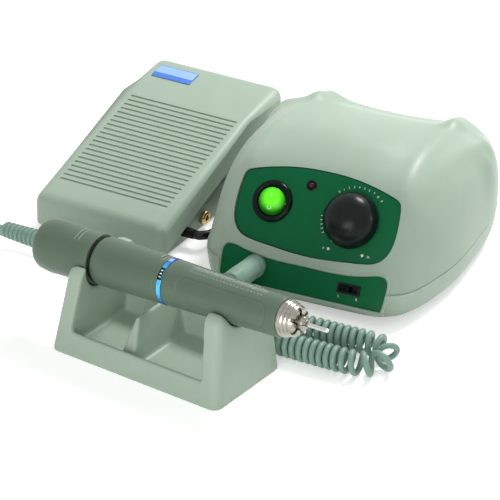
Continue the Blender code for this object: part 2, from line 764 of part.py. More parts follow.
def least_gap(points, diameter, apart):
    """The least room between two passes of a tube, from the distances between its centreline's stretches."""
    starts, ends = points[:-1], points[1:]
    shares = np.linspace(0.0, 1.0, 5)[:-1]
    dense = (starts[:, None] + (ends - starts)[:, None] * shares[None, :, None]).reshape(-1, 3)
    walked = np.concatenate([[0.0], np.cumsum(np.linalg.norm(np.diff(dense, axis=0), axis=1))])
    least = float("inf")
    for i in range(0, len(dense), 200):
        distance = np.linalg.norm(dense[i : i + 200, None] - dense[None], axis=2)
        near = np.abs(walked[i : i + 200, None] - walked[None]) < apart
        distance[near] = float("inf")
        least = min(least, float(distance.min()))
    return least - diameter


# Control box

BOX = new_frame("box_frame", location=(BOX_X + SHIFT_X, BOX_Y + SHIFT_Y, FOOT_HEIGHT))


def box_point(x_share, y_share, z_share):
    return (
        x_share * BOX_HALF_WIDTH,
        y_share * BOX_DEPTH - BOX_FRONT,
        SEAM_HEIGHT + z_share * CROWN_HEIGHT,
    )


def seam_half():
    """The shares along the right half of the seam, from the middle of the front to the middle of the back."""
    front = [point for point in COVER_ROWS_SHARE[0]]
    sides = [row[-1] for row in COVER_ROWS_SHARE[1:-1]]
    back = list(reversed(COVER_ROWS_SHARE[-1]))
    return front + sides + back


def skin_object(name, bm, wall=0.0, cutter=False, smoothed=True):
    """Mirror and smooth half a skin and, when it is open, thicken it inwards by the wall."""
    obj = new_object(name, mesh_from(name, bm), BOX, cutter=cutter)
    mirror = obj.modifiers.new("Mirror", "MIRROR")
    mirror.use_clip = True
    mirror.merge_threshold = MERGE
    if smoothed:
        smooth = obj.modifiers.new("Smooth", "SUBSURF")
        smooth.levels = 1
        smooth.render_levels = 1
    if wall:
        thicken = obj.modifiers.new("Wall", "SOLIDIFY")
        thicken.thickness = wall
        thicken.offset = -1.0
    return obj


def cover_skin():
    bm = bmesh.new()
    rows = []
    for r, row in enumerate(COVER_ROWS_SHARE):
        verts = []
        for c, shares in enumerate(row):
            x, y, z = box_point(*shares)
            on_seam = r in (0, len(COVER_ROWS_SHARE) - 1) or c == len(row) - 1
            verts.append(bm.verts.new((x, y, z - OVERRUN if on_seam else z)))
        rows.append(verts)
    for near, far in zip(rows, rows[1:]):
        for c in range(len(near) - 1):
            bm.faces.new((near[c], near[c + 1], far[c + 1], far[c]))
    return bm


def base_skin(wall, low, high):
    """The base's form, or its hollow when wall isn't zero. It flares forwards and draws in at the sides towards the floor."""
    bm = bmesh.new()
    crease = bm.edges.layers.float.new("crease_edge")
    middle = BOX_DEPTH / 2 - BOX_FRONT
    x_share_in = 1.0 - wall / BOX_HALF_WIDTH
    y_share_in = 1.0 - 2 * wall / BOX_DEPTH
    rings = (
        (high, 1.0),
        (low + FILLET_SHARE * SEAM_HEIGHT, 1.0),
        (low, BOTTOM_INSET_SHARE),
    )
    made = []
    for z, inset in rings:
        verts = []
        for x_share, y_share, _ in seam_half():
            x, y, _ = box_point(x_share, y_share, 0.0)
            down = 1.0 - min(1.0, z / SEAM_HEIGHT)
            narrow = 1.0 - (1.0 - BOTTOM_WIDTH_SHARE) * down
            fade = min(1.0, max(0.0, (FLARE_END_SHARE - x_share) / (FLARE_END_SHARE - FLARE_FULL_SHARE)))
            forwards = FRONT_FLARE * down * fade if y_share < FRONT_BAND_SHARE else 0.0
            x *= narrow * inset * x_share_in
            y = middle + (y - middle) * narrow**0.5 * inset * y_share_in - forwards
            verts.append(bm.verts.new((x, y, z)))
        made.append(verts)
    for upper, lower in zip(made, made[1:]):
        for i in range(len(upper) - 1):
            bm.faces.new((upper[i], lower[i], lower[i + 1], upper[i + 1]))
    for i in range(len(made[0]) - 1):
        bm.edges.get((made[0][i], made[0][i + 1]))[crease] = 1.0
    for half in (made[0], made[-1]):
        count = len(half)
        spine = {0: half[0], count - 1: half[-1]}
        for i in range(4, count - 4, 4):
            spine[i] = bm.verts.new((0.0, half[i].co.y, half[i].co.z))
        marks = sorted(spine)
        for first, last in zip(marks, marks[1:]):
            loop = [*half[first : last + 1]]
            for vert in (spine[last], spine[first]):
                if vert not in loop:
                    loop.append(vert)
            bm.faces.new(loop)
    return bm


def slab(name, low_z, high_z):
    wide = 2 * BOX_HALF_WIDTH
    return new_object(
        name,
        tapered_mesh(
            name,
            (-wide, wide, -BOX_DEPTH, 2 * BOX_DEPTH, low_z),
            (-wide, wide, -BOX_DEPTH, 2 * BOX_DEPTH, high_z),
        ),
        BOX,
        cutter=True,
    )


PANEL = new_frame(
    "panel_frame", BOX, (0.0, -PANEL_FOOT_Y, PANEL_FOOT_Z), (math.radians(90.0) - PANEL_LEAN, 0.0, 0.0)
)
STRIP = new_frame(
    "strip_frame", BOX, (0.0, -STRIP_FOOT_Y, STRIP_FOOT_Z), (math.radians(90.0) - STRIP_LEAN, 0.0, 0.0)
)

cover = skin_object("case_cover", cover_skin(), COVER_WALL)
base = skin_object("case_base", base_skin(0.0, 0.0, SEAM_HEIGHT + OVERRUN))
base_inside = base_skin(BASE_WALL, BASE_WALL, SEAM_HEIGHT + 2 * OVERRUN)
boolean(base, skin_object("base_hollow_form", base_inside, cutter=True, smoothed=False))
boolean(cover, slab("below_seam", -SEAM_HEIGHT, SEAM_HEIGHT + GAP / 2))
boolean(base, slab("above_seam", SEAM_HEIGHT - GAP / 2, 2 * SEAM_HEIGHT))

panel_hole = new_object(
    "panel_hole",
    plate_mesh("panel_hole", panel_outline(PANEL_OUTLINE_SHARE, PANEL_HALF_WIDTH, PANEL_HEIGHT, GAP), 2 * SURROUND_DEPTH, 0.0),
    PANEL,
    cutter=True,
)
strip_hole = new_object(
    "strip_hole",
    plate_mesh(
        "strip_hole",
        panel_outline(STRIP_OUTLINE_SHARE, STRIP_HALF_WIDTH, STRIP_HEIGHT, GAP),
        SURROUND_DEPTH,
        SURROUND_DEPTH / 2 - STRIP_CUT_DEPTH,
    ),
    STRIP,
    cutter=True,
)
boolean(cover, panel_hole)
boolean(cover, strip_hole)
boolean(base, strip_hole)

front_panel = new_object(
    "front_panel",
    plate_mesh("front_panel", panel_outline(PANEL_OUTLINE_SHARE, PANEL_HALF_WIDTH, PANEL_HEIGHT), PANEL_THICK, -PANEL_THICK / 2),
    PANEL,
)
strip_panel = new_object(
    "strip_panel",
    plate_mesh("strip_panel", panel_outline(STRIP_OUTLINE_SHARE, STRIP_HALF_WIDTH, STRIP_HEIGHT), STRIP_THICK, -STRIP_THICK / 2),
    STRIP,
)

# Rocker switch
ROCKER_PLACE = (ROCKER_X, ROCKER_UP, 0.0)
boolean(
    front_panel,
    rod("bezel_hole", BEZEL_BARREL_RADIUS + GAP, -SURROUND_DEPTH, SURROUND_DEPTH, ROUND_STEPS, PANEL, ROCKER_PLACE, cutter=True),
)
ROCKER_PIVOT = BEZEL_FLANGE - ROCKER_PIVOT_DEPTH
bezel = lathe(
    "rocker_bezel",
    [
        (0.0, BEZEL_FLANGE - BEZEL_POCKET_DEPTH),
        (BEZEL_POCKET_RADIUS, BEZEL_FLANGE - BEZEL_POCKET_DEPTH),
        (BEZEL_POCKET_RADIUS, BEZEL_FLANGE),
        (BEZEL_RADIUS - BEZEL_ROUND, BEZEL_FLANGE),
        (BEZEL_RADIUS, BEZEL_FLANGE - BEZEL_ROUND),
        (BEZEL_RADIUS, GAP),
        (BEZEL_BARREL_RADIUS, GAP),
        (BEZEL_BARREL_RADIUS, -BEZEL_BARREL_LENGTH),
        (0.0, -BEZEL_BARREL_LENGTH),
    ],
    ROUND_STEPS,
    PANEL,
    ROCKER_PLACE,
)
ROCKER = new_frame("rocker_frame", PANEL, (ROCKER_X, ROCKER_UP, ROCKER_PIVOT), (ROCKER_REST, 0.0, 0.0))
boolean(
    bezel,
    rod(
        "pin_hole_in_bezel", PIN_RADIUS + GAP, -BEZEL_BARREL_RADIUS - OVERRUN, BEZEL_BARREL_RADIUS + OVERRUN,
        TINY_STEPS, PANEL, (ROCKER_X, ROCKER_UP, ROCKER_PIVOT), ALONG_X, cutter=True,
    ),
)
button_radius = BEZEL_POCKET_RADIUS - ROCKER_CLEARANCE
button = lathe(
    "rocker_button",
    [
        (0.0, ROCKER_THICK / 2 + ROCKER_CROWN),
        (button_radius * 0.45, ROCKER_THICK / 2 + ROCKER_CROWN * 0.80),
        (button_radius * 0.80, ROCKER_THICK / 2 + ROCKER_CROWN * 0.36),
        (button_radius - BEZEL_ROUND, ROCKER_THICK / 2),
        (button_radius - BEZEL_ROUND / 2, ROCKER_THICK / 2 - BEZEL_ROUND),
        (button_radius, 0.0),
        (button_radius - BEZEL_ROUND, -ROCKER_THICK / 2),
        (0.0, -ROCKER_THICK / 2),
    ],
    ROUND_STEPS,
    ROCKER,
)
boolean(
    button,
    rod("pin_hole_in_button", PIN_RADIUS + PIN_CLEARANCE, -BEZEL_RADIUS, BEZEL_RADIUS, TINY_STEPS, ROCKER, ORIGIN, ALONG_X, cutter=True),
)
pin = rod(
    "rocker_pin", PIN_RADIUS, -BEZEL_BARREL_RADIUS + GAP, BEZEL_BARREL_RADIUS - GAP, TINY_STEPS,
    PANEL, (ROCKER_X, ROCKER_UP, ROCKER_PIVOT), ALONG_X,
)

# Pilot lamp
LAMP_PLACE = (LAMP_X, LAMP_UP, 0.0)
LAMP_BARREL_RADIUS = LAMP_RIM_RADIUS - 2 * GAP
boolean(
    front_panel,
    rod("lamp_hole", LAMP_BARREL_RADIUS + GAP / 2, -SURROUND_DEPTH, SURROUND_DEPTH, SMALL_STEPS, PANEL, LAMP_PLACE, cutter=True),
)
lamp_rim = lathe(
    "lamp_rim",
    [
        (LAMP_LENS_RADIUS, LAMP_RIM_HEIGHT),
        (LAMP_RIM_RADIUS, LAMP_RIM_HEIGHT),
        (LAMP_RIM_RADIUS, GAP),
        (LAMP_BARREL_RADIUS, GAP),
        (LAMP_BARREL_RADIUS, -PANEL_THICK - GAP),
        (LAMP_LENS_RADIUS, -PANEL_THICK - GAP),
    ],
    SMALL_STEPS,
    PANEL,
    LAMP_PLACE,
    ring=True,
)
lens_radius = LAMP_LENS_RADIUS - GAP / 2
lamp_lens = lathe(
    "lamp_lens",
    [
        (0.0, LAMP_LENS_HEIGHT),
        (lens_radius * 0.62, LAMP_LENS_HEIGHT * 0.86),
        (lens_radius, LAMP_LENS_HEIGHT * 0.48),
        (lens_radius, -LAMP_BODY_LENGTH),
        (0.0, -LAMP_BODY_LENGTH),
    ],
    SMALL_STEPS,
    PANEL,
    LAMP_PLACE,
)

# Speed control
KNOB = new_frame("knob_frame", PANEL, (KNOB_X, KNOB_UP, 0.0))
boolean(
    front_panel,
    rod("bush_hole", POT_BUSH_RADIUS + GAP, -SURROUND_DEPTH, SURROUND_DEPTH, SMALL_STEPS, PANEL, (KNOB_X, KNOB_UP, 0.0), cutter=True),
)
knob_bore = SHAFT_RADIUS + SHAFT_CLEARANCE
knob = lathe(
    "speed_knob",
    [
        (0.0, KNOB_HEIGHT),
        (KNOB_RADIUS * 0.30, KNOB_HEIGHT * 0.975),
        (KNOB_RADIUS * 0.55, KNOB_HEIGHT * 0.905),
        (KNOB_RADIUS * 0.75, KNOB_HEIGHT * 0.775),
        (KNOB_RADIUS * 0.88, KNOB_HEIGHT * 0.600),
        (KNOB_RADIUS * 0.93, KNOB_HEIGHT * 0.470),
        (KNOB_RADIUS, KNOB_HEIGHT * 0.400),
        (KNOB_RADIUS, KNOB_SKIRT),
        (KNOB_RADIUS - KNOB_LIFT, KNOB_LIFT),
        (knob_bore, KNOB_LIFT),
        (knob_bore, KNOB_LIFT + KNOB_BORE_DEPTH),
        (0.0, KNOB_LIFT + KNOB_BORE_DEPTH),
    ],
    FINE_STEPS,
    KNOB,
)
shaft_bore = SHAFT_RADIUS + SHAFT_CLEARANCE / 2
pot = lathe(
    "potentiometer",
    [
        (shaft_bore, KNOB_LIFT - GAP),
        (POT_BUSH_RADIUS, KNOB_LIFT - GAP),
        (POT_BUSH_RADIUS, -PANEL_THICK - GAP),
        (POT_RADIUS, -PANEL_THICK - GAP),
        (POT_RADIUS, -PANEL_THICK - POT_LENGTH),
        (0.0, -PANEL_THICK - POT_LENGTH),
        (0.0, -PANEL_THICK - POT_LENGTH / 2),
        (shaft_bore, -PANEL_THICK - POT_LENGTH / 2),
    ],
    SMALL_STEPS,
    PANEL,
    (KNOB_X, KNOB_UP, 0.0),
    ring=True,
)
pot_shaft = rod(
    "pot_shaft", SHAFT_RADIUS, GAP - PANEL_THICK - POT_LENGTH / 2, KNOB_LIFT + KNOB_BORE_DEPTH - GAP, SMALL_STEPS, KNOB
)

# Direction switch
SLIDE_PLACE = (SLIDE_X, SLIDE_UP, 0.0)
SLIDE_BODY_WIDTH = SLIDE_WIDTH - 2 * SLIDE_POCKET_MARGIN + GAP
SLIDE_BODY_HEIGHT = SLIDE_HEIGHT - 2 * SLIDE_POCKET_MARGIN + GAP
pocket_width = SLIDE_WIDTH - 3 * SLIDE_POCKET_MARGIN
pocket_height = SLIDE_HEIGHT - 3 * SLIDE_POCKET_MARGIN
boolean(
    strip_panel,
    new_object(
        "slide_hole",
        block_mesh("slide_hole", (SLIDE_BODY_WIDTH + 2 * GAP, SLIDE_BODY_HEIGHT + 2 * GAP, SURROUND_DEPTH), ORIGIN),
        STRIP,
        SLIDE_PLACE,
        cutter=True,
    ),
)
switch = new_object(
    "direction_switch",
    block_mesh(
        "direction_switch", (SLIDE_BODY_WIDTH, SLIDE_BODY_HEIGHT, SLIDE_BODY_DEPTH), (0.0, 0.0, SLIDE_FLANGE - SLIDE_BODY_DEPTH / 2 - GAP)
    ),
    STRIP,
    SLIDE_PLACE,
)
boolean(
    switch,
    new_object(
        "slide_flange",
        block_mesh("slide_flange", (SLIDE_WIDTH, SLIDE_HEIGHT, SLIDE_FLANGE), (0.0, 0.0, GAP + SLIDE_FLANGE / 2)),
        STRIP,
        SLIDE_PLACE,
        cutter=True,
    ),
    "UNION",
)
boolean(
    switch,
    new_object(
        "slide_pocket",
        block_mesh("slide_pocket", (pocket_width, pocket_height, 2 * SLIDE_POCKET_DEPTH), ORIGIN),
        STRIP,
        SLIDE_PLACE,
        cutter=True,
    ),
)
SLIDE_TRAVEL = pocket_width - SLIDE_THUMB_WIDTH - 2 * SLIDE_CLEARANCE
SLIDER = new_frame("slider_frame", STRIP, (SLIDE_X - SLIDE_TRAVEL / 2, SLIDE_UP, 0.0))
thumb_height = pocket_height - 2 * SLIDE_CLEARANCE
slider = new_object(
    "direction_slider",
    block_mesh(
        "direction_slider",
        (SLIDE_THUMB_WIDTH, thumb_height, SLIDE_THUMB_RISE + SLIDE_POCKET_DEPTH - GAP + SLIDE_FLANGE),
        (0.0, 0.0, (SLIDE_THUMB_RISE + SLIDE_FLANGE + GAP - SLIDE_POCKET_DEPTH) / 2),
        SLIDE_CLEARANCE,
    ),
    SLIDER,
)

# Socket of the handpiece's cord
SOCKET = new_frame("socket_frame", STRIP, (SOCKET_X, SOCKET_UP, 0.0), (STRIP_LEAN - SOCKET_TILT, 0.0, 0.0))
boolean(
    strip_panel,
    rod("socket_hole", SOCKET_RADIUS + GAP, -SURROUND_DEPTH, SURROUND_DEPTH, ROUND_STEPS, SOCKET, cutter=True),
)
socket = lathe(
    "handpiece_socket",
    [
        (SOCKET_BORE_RADIUS, SOCKET_PROUD),
        (SOCKET_RADIUS - BEZEL_ROUND, SOCKET_PROUD),
        (SOCKET_RADIUS, SOCKET_PROUD - BEZEL_ROUND),
        (SOCKET_RADIUS, -SOCKET_LENGTH),
        (0.0, -SOCKET_LENGTH),
        (0.0, SOCKET_PROUD - SOCKET_BORE_DEPTH),
        (SOCKET_BORE_RADIUS, SOCKET_PROUD - SOCKET_BORE_DEPTH),
    ],
    ROUND_STEPS,
    SOCKET,
    ring=True,
)

# Back of the control box
BACK_Y = BOX_DEPTH - BOX_FRONT + BACK_FACE_GAP
boolean(
    cover,
    new_object(
        "inlet_hole",
        block_mesh(
            "inlet_hole",
            (INLET_BODY_WIDTH + 2 * GAP, SURROUND_DEPTH, INLET_BODY_HEIGHT + 2 * GAP),
            (INLET_X, BACK_Y, INLET_Z),
        ),
        BOX,
        cutter=True,
    ),
)
inlet = new_object(
    "mains_inlet",
    block_mesh(
        "mains_inlet",
        (INLET_BODY_WIDTH, INLET_BODY_DEPTH, INLET_BODY_HEIGHT),
        (INLET_X, BACK_Y + GAP - INLET_BODY_DEPTH / 2, INLET_Z),
    ),
    BOX,
)
boolean(
    inlet,
    new_object(
        "inlet_flange",
        block_mesh("inlet_flange", (INLET_WIDTH, INLET_FLANGE, INLET_HEIGHT), (INLET_X, BACK_Y + INLET_FLANGE / 2, INLET_Z)),
        BOX,
        cutter=True,
    ),
    "UNION",
)
boolean(
    inlet,
    new_object(
        "inlet_pocket",
        block_mesh(
            "inlet_pocket",
            (INLET_POCKET_WIDTH, 2 * INLET_POCKET_DEPTH, INLET_POCKET_HEIGHT),
            (INLET_X, BACK_Y + INLET_FLANGE, INLET_Z),
        ),
        BOX,
        cutter=True,
    ),
)
boolean(
    cover,
    rod(
        "pedal_socket_hole", PEDAL_SOCKET_BODY_RADIUS + GAP, -SURROUND_DEPTH, SURROUND_DEPTH, SMALL_STEPS,
        BOX, (PEDAL_SOCKET_X, BACK_Y, PEDAL_SOCKET_Z), ALONG_BACK, cutter=True,
    ),
)
pedal_socket = lathe(
    "pedal_socket",
    [
        (PEDAL_SOCKET_BORE_RADIUS, PEDAL_SOCKET_FLANGE),
        (PEDAL_SOCKET_RADIUS, PEDAL_SOCKET_FLANGE),
        (PEDAL_SOCKET_RADIUS, 0.0),
        (PEDAL_SOCKET_BODY_RADIUS, 0.0),
        (PEDAL_SOCKET_BODY_RADIUS, -PEDAL_SOCKET_BODY_LENGTH),
        (0.0, -PEDAL_SOCKET_BODY_LENGTH),
        (0.0, PEDAL_SOCKET_FLANGE - PEDAL_SOCKET_BORE_DEPTH),
        (PEDAL_SOCKET_BORE_RADIUS, PEDAL_SOCKET_FLANGE - PEDAL_SOCKET_BORE_DEPTH),
    ],
    SMALL_STEPS,
    BOX,
    (PEDAL_SOCKET_X, BACK_Y, PEDAL_SOCKET_Z),
    ALONG_BACK,
    ring=True,
)

# Inside the control box
INNER_FLOOR = BASE_WALL + GAP
TRANSFORMER_Y = BACK_Y - INLET_BODY_DEPTH - TRANSFORMER_CLEARANCE - WINDING_DEPTH / 2
board_front = FOOT_INSET_FRONT - BOX_FRONT + BOARD_FRONT_CLEARANCE
BOARD_DEPTH = BACK_Y - BOARD_BACK_CLEARANCE - board_front
BOARD_Y = board_front + BOARD_DEPTH / 2
transformer = new_object(
    "transformer",
    block_mesh(
        "transformer",
        (TRANSFORMER_WIDTH, TRANSFORMER_DEPTH, TRANSFORMER_HEIGHT),
        (TRANSFORMER_X, TRANSFORMER_Y, INNER_FLOOR + TRANSFORMER_HEIGHT / 2),
    ),
    BOX,
)
boolean(
    transformer,
    new_object(
        "winding",
        block_mesh(
            "winding",
            (WINDING_WIDTH, WINDING_DEPTH, WINDING_HEIGHT),
            (TRANSFORMER_X, TRANSFORMER_Y, INNER_FLOOR + TRANSFORMER_HEIGHT / 2),
        ),
        BOX,
        cutter=True,
    ),
    "UNION",
)
BOARD_BOTTOM = BASE_WALL + BOARD_LIFT
board = new_object(
    "circuit_board",
    block_mesh("circuit_board", (BOARD_WIDTH, BOARD_DEPTH, BOARD_THICK), (BOARD_X, BOARD_Y, BOARD_BOTTOM + BOARD_THICK / 2)),
    BOX,
)
boolean(
    board,
    new_object(
        "power_module",
        block_mesh(
            "power_module",
            (HEATSINK_WIDTH, HEATSINK_DEPTH, HEATSINK_HEIGHT),
            (BOARD_X, BOARD_Y, BOARD_BOTTOM + HEATSINK_HEIGHT / 2 + BOARD_THICK / 2),
        ),
        BOX,
        cutter=True,
    ),
    "UNION",
)
for x_side in (-1, 1):
    for y_side in (-1, 1):
        place = (
            BOARD_X + x_side * (BOARD_WIDTH / 2 - POST_INSET),
            BOARD_Y + y_side * (BOARD_DEPTH / 2 - POST_INSET),
            0.0,
        )
        boolean(
            base,
            rod("board_post", POST_RADIUS, BASE_WALL / 2, BOARD_BOTTOM - GAP, POST_STEPS, BOX, place, cutter=True),
            "UNION",
        )

# Feet
feet = []
foot_back = BOX_DEPTH - BOX_FRONT - FOOT_INSET_BACK
foot_front = FOOT_INSET_FRONT - BOX_FRONT
for place_name, x_side, y_place in (
    ("front_left", -1, foot_front),
    ("front_right", 1, foot_front),
    ("back_left", -1, foot_back),
    ("back_right", 1, foot_back),
):
    place = (x_side * (BOX_HALF_WIDTH - FOOT_INSET_SIDE), y_place, 0.0)
    foot = lathe(
        "foot_" + place_name,
        [
            (FOOT_HOLE_RADIUS, -GAP),
            (FOOT_RADIUS, -GAP),
            (FOOT_RADIUS, GAP - FOOT_HEIGHT),
            (FOOT_RADIUS - GAP, -FOOT_HEIGHT),
            (FOOT_COUNTERBORE_RADIUS, -FOOT_HEIGHT),
            (FOOT_COUNTERBORE_RADIUS, FOOT_COUNTERBORE_DEPTH - FOOT_HEIGHT),
            (FOOT_HOLE_RADIUS, FOOT_COUNTERBORE_DEPTH - FOOT_HEIGHT),
        ],
        TINY_STEPS,
        BOX,
        place,
        ring=True,
    )
    head_top = FOOT_COUNTERBORE_DEPTH - FOOT_HEIGHT - GAP
    screw = lathe(
        "screw_" + place_name,
        [
            (0.0, SCREW_REACH),
            (SCREW_SHANK_RADIUS, SCREW_REACH),
            (SCREW_SHANK_RADIUS, head_top),
            (SCREW_HEAD_RADIUS, head_top),
            (SCREW_HEAD_RADIUS, head_top - SCREW_HEAD_HEIGHT),
            (SCREW_HEAD_RADIUS / 2, head_top - SCREW_HEAD_HEIGHT),
            (SCREW_HEAD_RADIUS / 3, head_top - SCREW_HEAD_HEIGHT + SCREW_HEAD_RECESS),
            (0.0, head_top - SCREW_HEAD_HEIGHT + SCREW_HEAD_RECESS),
        ],
        TINY_STEPS,
        BOX,
        place,
    )
    boolean(
        base,
        rod("screw_hole", FOOT_HOLE_RADIUS, -OVERRUN, OVERRUN, TINY_STEPS, BOX, place, cutter=True),
    )
    paint(foot, BLACK_RUBBER)
    paint(screw, STEEL)

paint(cover, PLASTIC)
paint(base, PLASTIC)
paint(front_panel, PANEL_GREEN, smooth=False)
paint(strip_panel, PANEL_GREEN, smooth=False)
paint(bezel, BLACK_PLASTIC)
paint(button, LENS_GREEN)
paint(pin, STEEL)
paint(lamp_rim, BLACK_PLASTIC)
paint(lamp_lens, LENS_RED)
paint(knob, BLACK_PLASTIC)
paint(pot, STEEL)
paint(pot_shaft, STEEL)
paint(switch, BLACK_PLASTIC, smooth=False)
paint(slider, BLACK_PLASTIC, smooth=False)
paint(socket, CHROME)
paint(inlet, BLACK_PLASTIC, smooth=False)
paint(pedal_socket, CHROME)
paint(transformer, CORE_STEEL, smooth=False)
paint(board, BOARD_GREEN, smooth=False)


# Cradle

CRADLE = new_frame("cradle_frame", location=(CRADLE_X + SHIFT_X, CRADLE_Y + SHIFT_Y, 0.0), rotation=(0.0, 0.0, CRADLE_TURN))
HAND = new_frame(
    "handpiece_frame", CRADLE, (0.0, 0.0, HANDPIECE_Z), (0.0, math.radians(90.0) - HANDPIECE_TILT, 0.0)
)
half_length = CRADLE_LENGTH / 2
half_width = CRADLE_WIDTH / 2
end_in = END_DRAFT_SHARE * CRADLE_HEIGHT
front_in = FRONT_DRAFT_SHARE * CRADLE_HEIGHT
back_in = BACK_DRAFT_SHARE * CRADLE_HEIGHT
cradle = new_object(
    "cradle",
    tapered_mesh(
        "cradle",
        (CRADLE_OFF_CENTRE - half_length, CRADLE_OFF_CENTRE + half_length, -half_width, half_width, 0.0),
        (
            CRADLE_OFF_CENTRE + end_in - half_length, CRADLE_OFF_CENTRE + half_length - end_in,
            front_in - half_width, half_width - back_in, CRADLE_HEIGHT,
        ),
        CRADLE_EDGE,
        3,
        keep_floor=True,
    ),
    CRADLE,
)


def between_plates(name, profile):
    """A cutter with this (y, z) outline, from one leaning end plate of the cradle to the other."""
    bm = bmesh.new()
    ends = []
    for side in (-1, 1):
        ends.append([
            bm.verts.new((CRADLE_OFF_CENTRE + side * (half_length - END_PLATE - END_DRAFT_SHARE * z), y, z))
            for y, z in profile
        ])
    bm.faces.new(ends[0])
    bm.faces.new(list(reversed(ends[1])))
    for i in range(len(profile)):
        j = (i + 1) % len(profile)
        bm.faces.new((ends[0][j], ends[0][i], ends[1][i], ends[1][j]))
    return new_object(name, mesh_from(name, bm), CRADLE, cutter=True)


above_cradle = CRADLE_HEIGHT + OVERRUN
TRAY_PROFILE = (
    (-TRAY_HALF_WIDTH, TRAY_FLOOR), (TRAY_HALF_WIDTH, TRAY_FLOOR), (TRAY_HALF_WIDTH, BACK_WALL_TOP),
    (CRADLE_WIDTH, BACK_WALL_TOP), (CRADLE_WIDTH, above_cradle), (-CRADLE_WIDTH, above_cradle),
    (-CRADLE_WIDTH, FRONT_WALL_TOP), (-TRAY_HALF_WIDTH, FRONT_WALL_TOP),
)
boolean(cradle, between_plates("tray_hollow", TRAY_PROFILE))
boolean(
    cradle,
    new_object(
        "divider",
        tapered_mesh(
            "divider",
            (DIVIDER_X - DIVIDER_FOOT_HALF, DIVIDER_X + DIVIDER_FOOT_HALF, -TRAY_HALF_WIDTH, DIVIDER_BACK_Y, TRAY_FLOOR / 2),
            (DIVIDER_X - DIVIDER_TOP_HALF, DIVIDER_X + DIVIDER_TOP_HALF, -DIVIDER_FRONT_Y, DIVIDER_BACK_Y, DIVIDER_TOP),
        ),
        CRADLE,
        cutter=True,
    ),
    "UNION",
)


def saddle(name, radius, low, high):
    """Cutters that let the handpiece down into one end plate: its round seat and the way in above it."""
    boolean(cradle, rod(name + "_seat", radius, low, high, FINE_STEPS, HAND, cutter=True))
    boolean(
        cradle,
        new_object(
            name + "_mouth",
            tapered_mesh(
                name + "_mouth",
                (-CRADLE_HEIGHT, 0.0, -radius, radius, low),
                (-CRADLE_HEIGHT, 0.0, -radius, radius, high),
            ),
            HAND,
            cutter=True,
        ),
    )


def grip_radius(at):
    share = (at - GRIP_REAR) / (GRIP_FRONT - GRIP_REAR)
    return GRIP_REAR_RADIUS + (GRIP_FRONT_RADIUS - GRIP_REAR_RADIUS) * share


seat_end = half_length + OVERRUN
seat_start = SADDLE_REACH
saddle("rear_saddle", CAP_FRONT_RADIUS + 2 * GAP, -seat_end, -seat_start)
saddle("front_saddle", grip_radius(seat_start) + GAP, seat_start, seat_end)
paint(cradle, PLASTIC)

# Handpiece
cap = lathe(
    "rear_cap",
    [
        (CAP_CAVITY_RADIUS, CAP_FRONT),
        (CAP_FRONT_RADIUS - CAP_GROOVE_DEPTH, CAP_FRONT),
        (CAP_FRONT_RADIUS, CAP_FRONT - CAP_GROOVE_DEPTH),
        (CAP_FRONT_RADIUS, CAP_GROOVE_FIRST + CAP_GROOVE_WIDTH / 2),
        (CAP_FRONT_RADIUS - CAP_GROOVE_DEPTH, CAP_GROOVE_FIRST),
        (CAP_FRONT_RADIUS, CAP_GROOVE_FIRST - CAP_GROOVE_WIDTH / 2),
        (CAP_FRONT_RADIUS, CAP_GROOVE_SECOND + CAP_GROOVE_WIDTH / 2),
        (CAP_FRONT_RADIUS - CAP_GROOVE_DEPTH, CAP_GROOVE_SECOND),
        (CAP_FRONT_RADIUS, CAP_GROOVE_SECOND - CAP_GROOVE_WIDTH / 2),
        (CAP_WIDE_RADIUS, CAP_WIDE_AT),
        (CAP_WIDE_RADIUS - CAP_GROOVE_DEPTH, CAP_REAR + CAP_ROUND),
        (CAP_WIDE_RADIUS - CAP_ROUND * 0.30, CAP_REAR + CAP_ROUND * 0.38),
        (CAP_REAR_RADIUS, CAP_REAR + CAP_ROUND * 0.06),
        (CAP_REAR_RADIUS * 0.8, CAP_REAR),
        (CAP_HOLE_RADIUS, CAP_REAR),
        (CAP_HOLE_RADIUS, CAP_CAVITY_REAR),
        (CAP_CAVITY_RADIUS, CAP_CAVITY_REAR),
    ],
    FINE_STEPS,
    HAND,
    ring=True,
)
seal = lathe(
    "seal_ring",
    [
        (CAP_CAVITY_RADIUS, SEAL_FRONT),
        (SEAL_RADIUS, SEAL_FRONT),
        (SEAL_RADIUS, SEAL_REAR),
        (CAP_CAVITY_RADIUS, SEAL_REAR),
    ],
    ROUND_STEPS,
    HAND,
    ring=True,
)


def housing_radius(at):
    share = (at - HOUSING_REAR) / (HOUSING_FRONT - HOUSING_REAR)
    return HOUSING_REAR_RADIUS + (HOUSING_FRONT_RADIUS - HOUSING_REAR_RADIUS) * share


